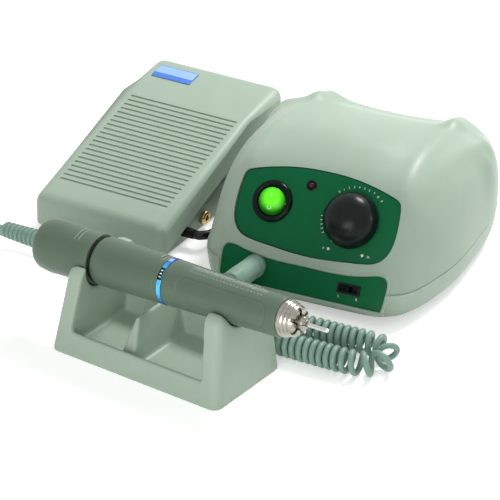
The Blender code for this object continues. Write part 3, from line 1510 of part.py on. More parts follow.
housing = lathe(
    "motor_housing",
    [
        (NOSE_TUBE_BORE, NOSE_TUBE_END),
        (NOSE_TUBE_RADIUS, NOSE_TUBE_END),
        (NOSE_TUBE_RADIUS, FRONT_SPIGOT_END),
        (FRONT_SPIGOT_RADIUS, FRONT_SPIGOT_END),
        (FRONT_SPIGOT_RADIUS, HOUSING_FRONT),
        (HOUSING_FRONT_RADIUS, HOUSING_FRONT),
        (HOUSING_FRONT_RADIUS, HOUSING_GROOVE_AT + HOUSING_GROOVE_WIDTH / 2),
        (HOUSING_FRONT_RADIUS - HOUSING_GROOVE_DEPTH, HOUSING_GROOVE_AT),
        (housing_radius(HOUSING_GROOVE_AT), HOUSING_GROOVE_AT - HOUSING_GROOVE_WIDTH / 2),
        (HOUSING_REAR_RADIUS, HOUSING_REAR),
        (HOUSING_SPIGOT_RADIUS, HOUSING_REAR),
        (HOUSING_SPIGOT_RADIUS, HOUSING_SPIGOT_REAR),
        (HOUSING_BORE_RADIUS, HOUSING_SPIGOT_REAR),
        (HOUSING_BORE_RADIUS, HOUSING_BORE_FRONT),
        (NOSE_TUBE_BORE, HOUSING_BORE_FRONT),
    ],
    FINE_STEPS,
    HAND,
    ring=True,
)
blue_ring = lathe(
    "blue_ring",
    [
        (FRONT_SPIGOT_RADIUS + GAP, RING_FRONT),
        (RING_RADIUS, RING_FRONT),
        (RING_RADIUS, RING_REAR),
        (FRONT_SPIGOT_RADIUS + GAP, RING_REAR),
    ],
    FINE_STEPS,
    HAND,
    ring=True,
)
grip = lathe(
    "grip_sleeve",
    [
        (GRIP_BORE_RADIUS, GRIP_FRONT),
        (GRIP_FRONT_RADIUS - GRIP_CHAMFER, GRIP_FRONT),
        (GRIP_FRONT_RADIUS, GRIP_FRONT - GRIP_CHAMFER),
        (GRIP_REAR_RADIUS, GRIP_REAR),
        (FRONT_SPIGOT_RADIUS + GAP, GRIP_REAR),
        (FRONT_SPIGOT_RADIUS + GAP, GRIP_COUNTERBORE_END),
        (GRIP_BORE_RADIUS, GRIP_COUNTERBORE_END),
    ],
    FINE_STEPS,
    HAND,
    ring=True,
)
nozzle = lathe(
    "nozzle",
    [
        (NOZZLE_BORE_RADIUS, NOZZLE_FRONT),
        (NOZZLE_FRONT_RADIUS - GRIP_CHAMFER, NOZZLE_FRONT),
        (NOZZLE_FRONT_RADIUS, NOZZLE_FRONT - GRIP_CHAMFER),
        (NOZZLE_REAR_RADIUS, NOZZLE_REAR),
        (NOZZLE_SKIRT_RADIUS, NOZZLE_REAR),
        (NOZZLE_SKIRT_RADIUS, NOZZLE_SKIRT_REAR),
        (NOZZLE_SKIRT_BORE, NOZZLE_SKIRT_REAR),
        (NOZZLE_SKIRT_BORE, NOZZLE_REAR),
        (NOZZLE_BORE_RADIUS, NOZZLE_REAR),
    ],
    ROUND_STEPS,
    HAND,
    ring=True,
)
for index in range(NOZZLE_NOTCH_COUNT):
    notch = new_object(
        "nozzle_notch",
        block_mesh(
            "nozzle_notch",
            (2 * NOZZLE_REAR_RADIUS, NOZZLE_NOTCH_WIDTH, 2 * NOZZLE_NOTCH_DEPTH),
            (NOZZLE_REAR_RADIUS, 0.0, NOZZLE_FRONT),
        ),
        HAND,
        rotation=(0.0, 0.0, math.tau * index / NOZZLE_NOTCH_COUNT),
        cutter=True,
    )
    boolean(nozzle, notch)

spindle = rod("spindle", SPINDLE_RADIUS, SPINDLE_REAR, SPINDLE_END, SMALL_STEPS, HAND)
collet = lathe(
    "collet",
    [
        (COLLET_BORE_RADIUS, COLLET_FRONT),
        (COLLET_RADIUS - COLLET_TAPER, COLLET_FRONT),
        (COLLET_RADIUS, COLLET_FRONT - COLLET_TAPER),
        (COLLET_RADIUS, COLLET_REAR),
        (COLLET_BORE_RADIUS, COLLET_REAR),
    ],
    SMALL_STEPS,
    HAND,
    ring=True,
)
bur = rod("bur_shank", BUR_RADIUS, BUR_REAR, BUR_FRONT, TINY_STEPS, HAND, chamfer=GAP)
rotor = lathe(
    "rotor",
    [
        (SPINDLE_RADIUS + GAP, ROTOR_FRONT),
        (ROTOR_RADIUS, ROTOR_FRONT),
        (ROTOR_RADIUS, ROTOR_REAR),
        (SPINDLE_RADIUS + GAP, ROTOR_REAR),
    ],
    SMALL_STEPS,
    HAND,
    ring=True,
)
stator = lathe(
    "stator",
    [
        (STATOR_BORE_RADIUS, STATOR_FRONT),
        (STATOR_RADIUS, STATOR_FRONT),
        (STATOR_RADIUS, STATOR_REAR),
        (STATOR_BORE_RADIUS, STATOR_REAR),
    ],
    SMALL_STEPS,
    HAND,
    ring=True,
)
rear_bearing = lathe(
    "rear_bearing",
    [
        (BEARING_BORE_RADIUS, REAR_BEARING_FRONT),
        (REAR_BEARING_RADIUS, REAR_BEARING_FRONT),
        (REAR_BEARING_RADIUS, REAR_BEARING_REAR),
        (BEARING_BORE_RADIUS, REAR_BEARING_REAR),
    ],
    SMALL_STEPS,
    HAND,
    ring=True,
)
front_bearing = lathe(
    "front_bearing",
    [
        (BEARING_BORE_RADIUS, FRONT_BEARING_FRONT),
        (FRONT_BEARING_RADIUS, FRONT_BEARING_FRONT),
        (FRONT_BEARING_RADIUS, FRONT_BEARING_REAR),
        (BEARING_BORE_RADIUS, FRONT_BEARING_REAR),
    ],
    SMALL_STEPS,
    HAND,
    ring=True,
)
paint(cap, GRIP_PLASTIC)
paint(seal, BLACK_RUBBER)
paint(housing, GRIP_PLASTIC)
paint(blue_ring, BLUE_METAL)
paint(grip, GRIP_PLASTIC)
paint(nozzle, CHROME)
paint(spindle, STEEL)
paint(collet, CHROME)
paint(bur, STEEL)
paint(rotor, CORE_STEEL)
paint(stator, COPPER)
paint(rear_bearing, STEEL)
paint(front_bearing, STEEL)


# Pedal

PEDAL = new_frame("pedal_frame", location=(PEDAL_X + SHIFT_X, PEDAL_Y + SHIFT_Y, 0.0), rotation=(0.0, 0.0, PEDAL_TURN))
TREADLE = new_frame("treadle_frame", PEDAL, (-PEDAL_BASE_WIDTH / 2, HINGE_Y, HINGE_Z))
PEDAL_MIDDLE = -PEDAL_BASE_WIDTH / 2
BASE_LOW = PAD_THICK + GAP

pedal_base = new_object(
    "pedal_base",
    tapered_mesh(
        "pedal_base",
        (-PEDAL_BASE_WIDTH, 0.0, PEDAL_BASE_FRONT, PEDAL_BASE_BACK, BASE_LOW),
        (-PEDAL_BASE_WIDTH, 0.0, PEDAL_BASE_FRONT, PEDAL_BASE_BACK, PEDAL_BASE_TOP),
    ),
    PEDAL,
)
inner_floor = BASE_LOW + PEDAL_BASE_FLOOR
boolean(
    pedal_base,
    new_object(
        "base_hollow",
        tapered_mesh(
            "base_hollow",
            (
                PEDAL_BASE_WALL - PEDAL_BASE_WIDTH, -PEDAL_BASE_WALL,
                PEDAL_BASE_FRONT + PEDAL_BASE_WALL, PEDAL_BASE_BACK - PEDAL_BASE_WALL, inner_floor,
            ),
            (
                PEDAL_BASE_WALL - PEDAL_BASE_WIDTH, -PEDAL_BASE_WALL,
                PEDAL_BASE_FRONT + PEDAL_BASE_WALL, PEDAL_BASE_BACK - PEDAL_BASE_WALL, PEDAL_BASE_TOP + OVERRUN,
            ),
        ),
        PEDAL,
        cutter=True,
    ),
)
for side in (-1, 1):
    inner, outer = sorted((PEDAL_MIDDLE + side * POST_INNER, PEDAL_MIDDLE + side * POST_OUTER))
    low_z = BASE_LOW + PEDAL_BASE_FLOOR / 2
    boolean(
        pedal_base,
        new_object(
            "hinge_post",
            tapered_mesh(
                "hinge_post",
                (inner, outer, HINGE_Y - LUG_HALF, HINGE_Y + LUG_HALF, low_z),
                (inner, outer, HINGE_Y - LUG_HALF, HINGE_Y + LUG_HALF, HINGE_POST_TOP),
            ),
            PEDAL,
            cutter=True,
        ),
        "UNION",
    )
boolean(
    pedal_base,
    rod("spring_post", SPRING_POST_RADIUS, BASE_LOW + PEDAL_BASE_FLOOR / 2, SPRING_POST_TOP, TINY_STEPS, PEDAL, (PEDAL_MIDDLE, SPRING_Y, 0.0), cutter=True),
    "UNION",
)
pin_place = (PEDAL_MIDDLE, HINGE_Y, HINGE_Z)
boolean(
    pedal_base,
    rod("pin_hole_in_posts", HINGE_PIN_RADIUS + HINGE_FIXED_CLEARANCE, -POST_OUTER - GAP, POST_OUTER + GAP, TINY_STEPS, PEDAL, pin_place, ALONG_X, cutter=True),
)
boolean(
    pedal_base,
    rod("jack_hole", JACK_BODY_RADIUS + GAP, -OVERRUN, OVERRUN, TINY_STEPS, PEDAL, (0.0, JACK_Y, JACK_Z), ALONG_X, cutter=True),
)
boolean(
    pedal_base,
    rod("cable_hole", PEDAL_BOOT_TIP_RADIUS + GAP, -OVERRUN, OVERRUN, TINY_STEPS, PEDAL, (0.0, PEDAL_EXIT_Y, PEDAL_EXIT_Z), ALONG_X, cutter=True),
)

TREADLE_PROFILE = (
    (TREADLE_FRONT, TREADLE_FRONT_BOTTOM),
    (TREADLE_FRONT, TREADLE_FRONT_TOP),
    (TREADLE_BREAK_Y, TREADLE_BREAK_TOP),
    (TREADLE_BACK, TREADLE_BACK_TOP),
    (TREADLE_BACK, TREADLE_BACK_BOTTOM),
    (TREADLE_MIDDLE_Y, TREADLE_MIDDLE_BOTTOM),
    (TREADLE_KNEE_Y, TREADLE_KNEE_BOTTOM),
)


def treadle_block(name, wall, drop, edge, cutter):
    """The treadle's outer form, or the form of its hollow when wall and drop aren't zero."""
    bottom = {0, 4, 5, 6}
    bm = bmesh.new()
    sides = []
    for x in (TREADLE_LEFT + wall, TREADLE_RIGHT - wall):
        loop = []
        for index, (y, z) in enumerate(TREADLE_PROFILE):
            inwards = wall if y == TREADLE_FRONT else -wall if y == TREADLE_BACK else 0.0
            z_place = z - drop if index in bottom else z - wall
            loop.append(bm.verts.new((x + PEDAL_BASE_WIDTH / 2, y + inwards - HINGE_Y, z_place - HINGE_Z)))
        sides.append(loop)
    left, right = sides
    bm.faces.new(left)
    bm.faces.new(list(reversed(right)))
    count = len(left)
    for i in range(count):
        j = (i + 1) % count
        bm.faces.new((left[j], left[i], right[i], right[j]))
    lower = {vert for loop in sides for index, vert in enumerate(loop) if index in bottom}
    chosen = []
    for item in bm.edges:
        ends = set(item.verts)
        if ends <= lower:
            continue
        flat_break = ends == {left[2], right[2]}
        if not flat_break:
            chosen.append(item)
    bmesh.ops.bevel(bm, geom=chosen, offset=edge, segments=3, profile=0.5, affect="EDGES")
    bmesh.ops.triangulate(bm, faces=[face for face in bm.faces if len(face.verts) > 4])
    return new_object(name, mesh_from(name, bm), TREADLE, cutter=cutter)


treadle = treadle_block("treadle", 0.0, 0.0, TREADLE_EDGE, False)
boolean(treadle, treadle_block("treadle_hollow", TREADLE_WALL, OVERRUN, TREADLE_EDGE - TREADLE_WALL, True))


def top_height(y):
    """The treadle's top at this place along the pedal."""
    if y < TREADLE_BREAK_Y:
        share = (y - TREADLE_FRONT) / (TREADLE_BREAK_Y - TREADLE_FRONT)
        return TREADLE_FRONT_TOP + (TREADLE_BREAK_TOP - TREADLE_FRONT_TOP) * share
    share = (y - TREADLE_BREAK_Y) / (TREADLE_BACK - TREADLE_BREAK_Y)
    return TREADLE_BREAK_TOP + (TREADLE_BACK_TOP - TREADLE_BREAK_TOP) * share


def on_treadle(x, y, z):
    return (x + PEDAL_BASE_WIDTH / 2, y - HINGE_Y, z - HINGE_Z)


SLOPE = math.atan2(TREADLE_BREAK_TOP - TREADLE_FRONT_TOP, TREADLE_BREAK_Y - TREADLE_FRONT)
BACK_SLOPE = math.atan2(TREADLE_BACK_TOP - TREADLE_BREAK_TOP, TREADLE_BACK - TREADLE_BREAK_Y)

for side in (-1, 1):
    inner, outer = sorted((side * LUG_INNER, side * LUG_OUTER))
    lug_top = top_height(HINGE_Y - LUG_HALF) - TREADLE_WALL / 2 - HINGE_Z
    boolean(
        treadle,
        new_object(
            "treadle_lug",
            tapered_mesh(
                "treadle_lug",
                (inner, outer, -LUG_HALF, LUG_HALF, -LUG_HALF),
                (inner, outer, -LUG_HALF, LUG_HALF, lug_top),
            ),
            TREADLE,
            cutter=True,
        ),
        "UNION",
    )
boolean(
    treadle,
    rod("pin_hole_in_lugs", HINGE_PIN_RADIUS + HINGE_PIN_CLEARANCE, -LUG_OUTER - GAP, LUG_OUTER + GAP, TINY_STEPS, TREADLE, ORIGIN, ALONG_X, cutter=True),
)
groove_bm = bmesh.new()
groove_pitch = (GROOVE_FIRST_Y - GROOVE_LAST_Y) / (GROOVE_COUNT - 1)
for index in range(GROOVE_COUNT):
    y = GROOVE_LAST_Y + groove_pitch * index
    made = bmesh.ops.create_cube(groove_bm, size=1.0)["verts"]
    turn = Matrix.Rotation(SLOPE, 4, "X")
    centre = Vector(on_treadle((GROOVE_LEFT + GROOVE_RIGHT) / 2, y, top_height(y)))
    size = Matrix.Diagonal((GROOVE_RIGHT - GROOVE_LEFT, GROOVE_WIDTH, 2 * GROOVE_DEPTH, 1.0))
    bmesh.ops.transform(groove_bm, matrix=Matrix.Translation(centre) @ turn @ size, verts=made)
boolean(treadle, new_object("treadle_grooves", mesh_from("treadle_grooves", groove_bm), TREADLE, cutter=True))

hinge_pin = rod("hinge_pin", HINGE_PIN_RADIUS, -POST_OUTER + GAP, POST_OUTER - GAP, TINY_STEPS, PEDAL, pin_place, ALONG_X)

label = new_object(
    "pedal_label",
    block_mesh("pedal_label", (LABEL_WIDTH, LABEL_DEPTH, LABEL_THICK), (0.0, 0.0, GAP / 2 + LABEL_THICK / 2)),
    TREADLE,
    on_treadle(LABEL_X, LABEL_Y, top_height(LABEL_Y)),
    (BACK_SLOPE, 0.0, 0.0),
)
magnet = rod(
    "sensor_magnet", MAGNET_RADIUS, -TREADLE_WALL / math.cos(SLOPE) - GAP - MAGNET_THICK, -TREADLE_WALL / math.cos(SLOPE) - GAP,
    TINY_STEPS, TREADLE, on_treadle(PEDAL_MIDDLE, MAGNET_Y, top_height(MAGNET_Y)), (SLOPE, 0.0, 0.0),
)

spring_low = inner_floor + SPRING_WIRE_RADIUS + GAP
spring_high = top_height(SPRING_Y) - TREADLE_WALL - SPRING_SLACK
spring_count = SPRING_TURNS * SPRING_STEPS
spring_points = [
    (
        PEDAL_MIDDLE + SPRING_RADIUS * math.cos(math.tau * i / SPRING_STEPS),
        SPRING_Y + SPRING_RADIUS * math.sin(math.tau * i / SPRING_STEPS),
        spring_low + (spring_high - spring_low) * i / spring_count,
    )
    for i in range(spring_count + 1)
]
spring = tube("return_spring", spring_points, SPRING_WIRE_RADIUS, 0, PEDAL)

for side_x in (-1, 1):
    for side_y in (-1, 1):
        boolean(
            pedal_base,
            rod(
                "sensor_post", POST_RADIUS / 2, BASE_LOW + PEDAL_BASE_FLOOR / 2, inner_floor + SENSOR_LIFT - GAP, POST_STEPS, PEDAL,
                (PEDAL_MIDDLE + side_x * SENSOR_WIDTH / 3, SENSOR_Y + side_y * SENSOR_DEPTH / 3, 0.0), cutter=True,
            ),
            "UNION",
        )
sensor = new_object(
    "sensor_board",
    block_mesh("sensor_board", (SENSOR_WIDTH, SENSOR_DEPTH, SENSOR_THICK), (PEDAL_MIDDLE, SENSOR_Y, inner_floor + SENSOR_LIFT + SENSOR_THICK / 2)),
    PEDAL,
)
jack = lathe(
    "jack_bush",
    [
        (JACK_BORE_RADIUS, JACK_PROUD),
        (JACK_RADIUS - GAP, JACK_PROUD),
        (JACK_RADIUS, JACK_PROUD - GAP),
        (JACK_RADIUS, GAP),
        (JACK_BODY_RADIUS, GAP),
        (JACK_BODY_RADIUS, -JACK_BODY_LENGTH),
        (0.0, -JACK_BODY_LENGTH),
        (0.0, JACK_PROUD - JACK_BORE_DEPTH),
        (JACK_BORE_RADIUS, JACK_PROUD - JACK_BORE_DEPTH),
    ],
    SMALL_STEPS,
    PEDAL,
    (0.0, JACK_Y, JACK_Z),
    ALONG_X,
    ring=True,
)
pads = [
    new_object(
        name,
        block_mesh(name, (PAD_LENGTH, PAD_WIDTH, PAD_THICK), (PEDAL_MIDDLE, y, PAD_THICK / 2)),
        PEDAL,
    )
    for name, y in (("pedal_pad_front", PAD_FRONT_Y), ("pedal_pad_back", PAD_BACK_Y))
]
pedal_boot = lathe(
    "pedal_boot",
    [
        (0.0, PEDAL_BOOT_LENGTH),
        (PEDAL_BOOT_TIP_RADIUS, PEDAL_BOOT_LENGTH),
        (PEDAL_BOOT_RADIUS, GAP),
        (PEDAL_BOOT_TIP_RADIUS, GAP),
        (PEDAL_BOOT_TIP_RADIUS, -PEDAL_BOOT_TAIL),
        (0.0, -PEDAL_BOOT_TAIL),
    ],
    SMALL_STEPS,
    PEDAL,
    (0.0, PEDAL_EXIT_Y, PEDAL_EXIT_Z),
    ALONG_X,
)
paint(pedal_base, PLASTIC, smooth=False)
paint(treadle, PLASTIC)
paint(hinge_pin, STEEL)
paint(label, BLUE_LABEL, smooth=False)
paint(magnet, MAGNET_GREY)
paint(spring, STEEL)
paint(sensor, BOARD_GREEN, smooth=False)
paint(jack, BRASS)
paint(pads[0], BLACK_RUBBER, smooth=False)
paint(pads[1], BLACK_RUBBER, smooth=False)
paint(pedal_boot, BLACK_RUBBER)


# Cords

bpy.context.view_layer.update()


def world_of(frame, point):
    return np.array(frame.matrix_world @ Vector(point))


def direction_of(frame, vector):
    return np.array(frame.matrix_world.to_3x3() @ Vector(vector))


rib_pitch = (BOOT_LENGTH - 2 * GAP) / (2 * BOOT_RIB_COUNT)
boot_profile = [(0.0, CAP_REAR + BOOT_TAIL_LENGTH), (BOOT_TAIL_RADIUS, CAP_REAR + BOOT_TAIL_LENGTH), (BOOT_TAIL_RADIUS, CAP_REAR - GAP)]
for index in range(2 * BOOT_RIB_COUNT):
    share = index / (2 * BOOT_RIB_COUNT - 1)
    radius = BOOT_FRONT_RADIUS + (BOOT_REAR_RADIUS - BOOT_FRONT_RADIUS) * share
    radius -= BOOT_RIB_DEPTH if index % 2 else 0.0
    start = CAP_REAR - GAP - rib_pitch * index
    boot_profile.append((radius, start if index else start - GAP / 2))
    boot_profile.append((radius, start - rib_pitch * 0.7))
boot_profile.append((CURLY_RADIUS, CAP_REAR - BOOT_LENGTH))
boot_profile.append((0.0, CAP_REAR - BOOT_LENGTH))
cord_boot = lathe("cord_boot", boot_profile, TINY_STEPS, HAND)

PLUG = new_frame("plug_frame", SOCKET, (0.0, 0.0, SOCKET_PROUD + GAP))
plug = lathe(
    "cord_plug",
    [
        (0.0, PLUG_LENGTH + PLUG_BOOT_LENGTH),
        (PLUG_BOOT_TIP_RADIUS, PLUG_LENGTH + PLUG_BOOT_LENGTH),
        (PLUG_BOOT_RADIUS, PLUG_LENGTH),
        (PLUG_WAIST_RADIUS, PLUG_LENGTH),
        (PLUG_RADIUS, PLUG_LENGTH - PLUG_WAIST_AT),
        (PLUG_RADIUS, 0.0),
        (PLUG_SPIGOT_RADIUS, 0.0),
        (PLUG_SPIGOT_RADIUS, -PLUG_SPIGOT_LENGTH),
        (0.0, -PLUG_SPIGOT_LENGTH),
    ],
    SMALL_STEPS,
    PLUG,
)
bpy.context.view_layer.update()
boot_end = world_of(HAND, (0.0, 0.0, CAP_REAR - BOOT_LENGTH - GAP))
boot_way = direction_of(HAND, (0.0, 0.0, -1.0))
plug_end = world_of(PLUG, (0.0, 0.0, PLUG_LENGTH + PLUG_BOOT_LENGTH + GAP))
plug_way = direction_of(PLUG, (0.0, 0.0, 1.0))

# The cord's route in world places. Each row holds x, y, z, the pitch of the curls and their radius.
CURLY_ROUTE = (
    (-0.1180, -0.0759, 0.0438, 0.0200, 0.0),
    (-0.1320, -0.0690, 0.0390, 0.0200, 0.0),
    (-0.1430, -0.0550, 0.0285, 0.0200, 0.0),
    (-0.1450, -0.0400, 0.0170, 0.0200, 0.0),
    (-0.1390, -0.0285, 0.0092, 0.0200, 0.0),
    (-0.1261, -0.0241, 0.0075, 0.0200, 0.0),
    (-0.1120, -0.0250, 0.0072, 0.0160, 0.0),
    (-0.1000, -0.0268, 0.0080, 0.0110, 0.0045),
    (-0.0880, -0.0300, 0.0080, 0.0110, 0.0056),
    (-0.0750, -0.0345, 0.0080, 0.0110, 0.0056),
    (-0.0550, -0.0410, 0.0080, 0.0110, 0.0056),
    (-0.0300, -0.0490, 0.0080, 0.0110, 0.0056),
    (-0.0050, -0.0550, 0.0080, 0.0110, 0.0056),
    (0.0200, -0.0610, 0.0080, 0.0110, 0.0056),
    (0.0420, -0.0655, 0.0080, 0.0100, 0.0056),
    (0.0560, -0.0688, 0.0080, 0.0080, 0.0056),
    (0.0640, -0.0703, 0.0080, 0.00425, 0.0056),
    (0.0740, -0.0714, 0.0080, 0.00425, 0.0056),
    (0.0860, -0.0722, 0.0080, 0.00418, 0.0056),
    (0.0980, -0.0730, 0.0080, 0.00425, 0.0056),
    (0.1080, -0.0732, 0.0080, 0.0052, 0.0056),
    (0.1165, -0.0719, 0.0080, 0.0078, 0.0056),
    (0.1226, -0.0680, 0.0080, 0.0100, 0.0056),
    (0.1252, -0.0615, 0.0080, 0.0104, 0.0056),
    (0.1230, -0.0551, 0.0080, 0.0100, 0.0056),
    (0.1170, -0.0512, 0.0080, 0.0080, 0.0056),
    (0.1090, -0.0503, 0.0080, 0.0052, 0.0056),
    (0.1000, -0.0503, 0.0080, 0.00425, 0.0056),
    (0.0880, -0.0500, 0.0080, 0.00418, 0.0056),
    (0.0780, -0.0496, 0.0080, 0.00450, 0.0056),
    (0.0700, -0.0497, 0.0080, 0.0070, 0.0056),
    (0.0620, -0.0508, 0.0082, 0.0090, 0.0050),
    (0.0540, -0.0535, 0.0105, 0.0120, 0.0),
)
SHIFT = np.array([SHIFT_X, SHIFT_Y, 0.0])
curl_points, curl_count = curled(CURLY_ROUTE, CURLY_RADIUS / 2, CURLY_POINTS)
curl_points = curl_points + SHIFT
BOOT_LEAD = 0.0060
PLUG_LEAD = 0.0060
AFTER_CURLS = (
    (0.0440, -0.0570, 0.0140),
    (0.0360, -0.0630, 0.0185),
)
to_plug = np.vstack([
    curl_points[-1][None],
    np.array(AFTER_CURLS) + SHIFT,
    (plug_end + plug_way * PLUG_LEAD)[None],
    plug_end[None],
])
lead_out = smooth_path(np.vstack([boot_end[None], (boot_end + boot_way * BOOT_LEAD)[None], curl_points[0][None]]), 2 * CURLY_RADIUS)
lead_in = smooth_path(to_plug[:-1], 2 * CURLY_RADIUS)
cord_points = np.vstack([lead_out[:-1], curl_points, lead_in[1:], plug_end[None]])
curly = tube("curly_cord", cord_points, CURLY_RADIUS, 1)
print(f"curls {curl_count:.1f}, cord points {len(cord_points)}, least gap {1000 * least_gap(cord_points, 2 * CURLY_RADIUS, 3 * CURLY_RADIUS):.2f} mm")

pedal_exit = world_of(PEDAL, (PEDAL_BOOT_LENGTH + GAP, PEDAL_EXIT_Y, PEDAL_EXIT_Z))
pedal_way = direction_of(PEDAL, (1.0, 0.0, 0.0))
plug_face = BACK_Y + PEDAL_SOCKET_FLANGE + GAP
BACK_PLUG = new_frame("back_plug_frame", BOX, (PEDAL_SOCKET_X, plug_face, PEDAL_SOCKET_Z), ALONG_BACK)
bpy.context.view_layer.update()
back_plug = lathe(
    "pedal_plug",
    [
        (0.0, BACK_PLUG_LENGTH + BACK_PLUG_BOOT_LENGTH),
        (CABLE_RADIUS, BACK_PLUG_LENGTH + BACK_PLUG_BOOT_LENGTH),
        (BACK_PLUG_BOOT_RADIUS, BACK_PLUG_LENGTH),
        (BACK_PLUG_RADIUS, BACK_PLUG_LENGTH),
        (BACK_PLUG_RADIUS, 0.0),
        (BACK_PLUG_SPIGOT_RADIUS, 0.0),
        (BACK_PLUG_SPIGOT_RADIUS, -BACK_PLUG_SPIGOT_LENGTH),
        (0.0, -BACK_PLUG_SPIGOT_LENGTH),
    ],
    SMALL_STEPS,
    BACK_PLUG,
)
back_end = world_of(BACK_PLUG, (0.0, 0.0, BACK_PLUG_LENGTH + BACK_PLUG_BOOT_LENGTH + GAP))
back_way = direction_of(BACK_PLUG, (0.0, 0.0, 1.0))

# The coil winds inwards on the table and back outwards a layer higher, then leaves for the plug.
loop_count = 2 * LOOPS_PER_LAYER
loop_total = int(round(loop_count * LOOP_POINTS))
loop_points = []
for index in range(loop_total + 1):
    turned = index / LOOP_POINTS
    inward = min(turned, loop_count - turned) / LOOPS_PER_LAYER
    radius = LOOP_OUTER_RADIUS + (LOOP_INNER_RADIUS - LOOP_OUTER_RADIUS) * inward
    climb = min(1.0, max(0.0, (turned - LOOPS_PER_LAYER) * 2.0 + 0.5))
    climb = climb * climb * (3.0 - 2.0 * climb)
    angle = LOOP_START_ANGLE - math.tau * turned
    loop_points.append(
        (
            LOOP_CENTRE_X + radius * math.cos(angle),
            LOOP_CENTRE_Y + radius * math.sin(angle),
            LOOP_FLOOR + LOOP_RISE * climb,
        )
    )
loop_points = np.array(loop_points) + SHIFT
coil = tube("pedal_cable_coil", loop_points, CABLE_RADIUS, 1)
print(f"coil least gap {1000 * least_gap(loop_points, 2 * CABLE_RADIUS, LOOP_INNER_RADIUS):.2f} mm")
coil_in_way = loop_points[0] - loop_points[1]
coil_in_way /= np.linalg.norm(coil_in_way)
coil_out_way = loop_points[-1] - loop_points[-2]
coil_out_way /= np.linalg.norm(coil_out_way)

CABLE_ROUTE = (
    (-0.0235, 0.0240, 0.0083),
    (-0.0218, 0.0320, 0.0078),
    (-0.0222, 0.0440, 0.0055),
    (-0.0240, 0.0650, 0.0035),
    (-0.0262, 0.1000, 0.0030),
)
CABLE_LEAD = 0.0060


def laid(start, start_way, route, end, end_way):
    """A cable's points: straight off both ends, and smooth along the route between them."""
    middle = np.vstack([
        (start + start_way * CABLE_LEAD / 2)[None],
        np.array(route) + SHIFT,
        (end + end_way * CABLE_LEAD / 2)[None],
    ])
    return np.vstack([start[None], smooth_path(middle, 2.2 * CABLE_RADIUS)[:, :3], end[None]])


cable_end = loop_points[0] + coil_in_way * GAP
cable = tube("pedal_cable", laid(pedal_exit, pedal_way, CABLE_ROUTE, cable_end, coil_in_way), CABLE_RADIUS, 1)
LEAD_ROUTE = (
    (0.0050, 0.1880, 0.0110),
    (0.0125, 0.1940, 0.0155),
    (0.0200, 0.1880, 0.0210),
)
lead_start = loop_points[-1] + coil_out_way * GAP
lead = tube("pedal_cable_lead", laid(lead_start, coil_out_way, LEAD_ROUTE, back_end, back_way), CABLE_RADIUS, 1)

paint(cord_boot, TEAL_RUBBER)
paint(plug, TEAL_RUBBER)
paint(curly, TEAL_RUBBER)
paint(back_plug, BLACK_RUBBER)
paint(coil, BLACK_RUBBER)
paint(cable, BLACK_RUBBER)
paint(lead, BLACK_RUBBER)
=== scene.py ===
"""Studio scene of a dental laboratory micromotor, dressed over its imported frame.

The set is a control box with an inclined panel, a handpiece lying on its cradle, a foot pedal and two cords.
Every length is in metres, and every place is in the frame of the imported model.
"""

import json
import logging
import math
from contextlib import contextmanager
from dataclasses import dataclass, field
from enum import Enum
from typing import Dict, Iterator, List, Optional, Sequence, Tuple, Union

import bmesh
import bpy
import numpy as np
from mathutils import Euler, Matrix, Vector

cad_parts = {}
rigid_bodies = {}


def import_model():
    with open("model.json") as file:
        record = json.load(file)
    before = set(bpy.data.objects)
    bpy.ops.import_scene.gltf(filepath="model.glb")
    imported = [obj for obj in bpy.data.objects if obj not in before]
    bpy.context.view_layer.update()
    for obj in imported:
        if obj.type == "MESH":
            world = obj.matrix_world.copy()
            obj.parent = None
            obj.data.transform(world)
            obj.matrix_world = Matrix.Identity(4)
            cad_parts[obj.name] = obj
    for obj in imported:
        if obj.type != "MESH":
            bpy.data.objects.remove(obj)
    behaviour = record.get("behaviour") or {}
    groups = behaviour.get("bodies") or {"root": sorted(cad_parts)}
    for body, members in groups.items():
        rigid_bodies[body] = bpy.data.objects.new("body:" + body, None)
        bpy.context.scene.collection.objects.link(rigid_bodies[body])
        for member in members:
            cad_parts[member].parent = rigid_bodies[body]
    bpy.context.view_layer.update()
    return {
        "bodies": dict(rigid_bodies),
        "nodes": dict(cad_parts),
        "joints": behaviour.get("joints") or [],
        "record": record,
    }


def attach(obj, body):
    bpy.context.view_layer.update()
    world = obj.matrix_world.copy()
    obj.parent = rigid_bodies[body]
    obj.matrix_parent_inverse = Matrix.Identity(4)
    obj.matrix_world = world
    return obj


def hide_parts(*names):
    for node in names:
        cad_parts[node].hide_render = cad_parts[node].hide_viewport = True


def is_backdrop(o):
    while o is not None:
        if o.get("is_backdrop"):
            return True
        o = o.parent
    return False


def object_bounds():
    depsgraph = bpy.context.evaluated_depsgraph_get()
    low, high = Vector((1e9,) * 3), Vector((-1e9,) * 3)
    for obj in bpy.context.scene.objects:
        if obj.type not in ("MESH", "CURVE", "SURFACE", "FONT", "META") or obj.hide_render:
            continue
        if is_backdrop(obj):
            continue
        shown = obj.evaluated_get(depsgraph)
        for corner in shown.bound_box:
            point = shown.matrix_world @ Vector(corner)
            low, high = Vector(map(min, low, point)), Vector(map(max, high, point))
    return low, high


LOG = logging.getLogger("micromotor")

Array = np.ndarray
Point = Tuple[float, float, float]
Profile = Sequence[Tuple[float, float]]
Object = bpy.types.Object

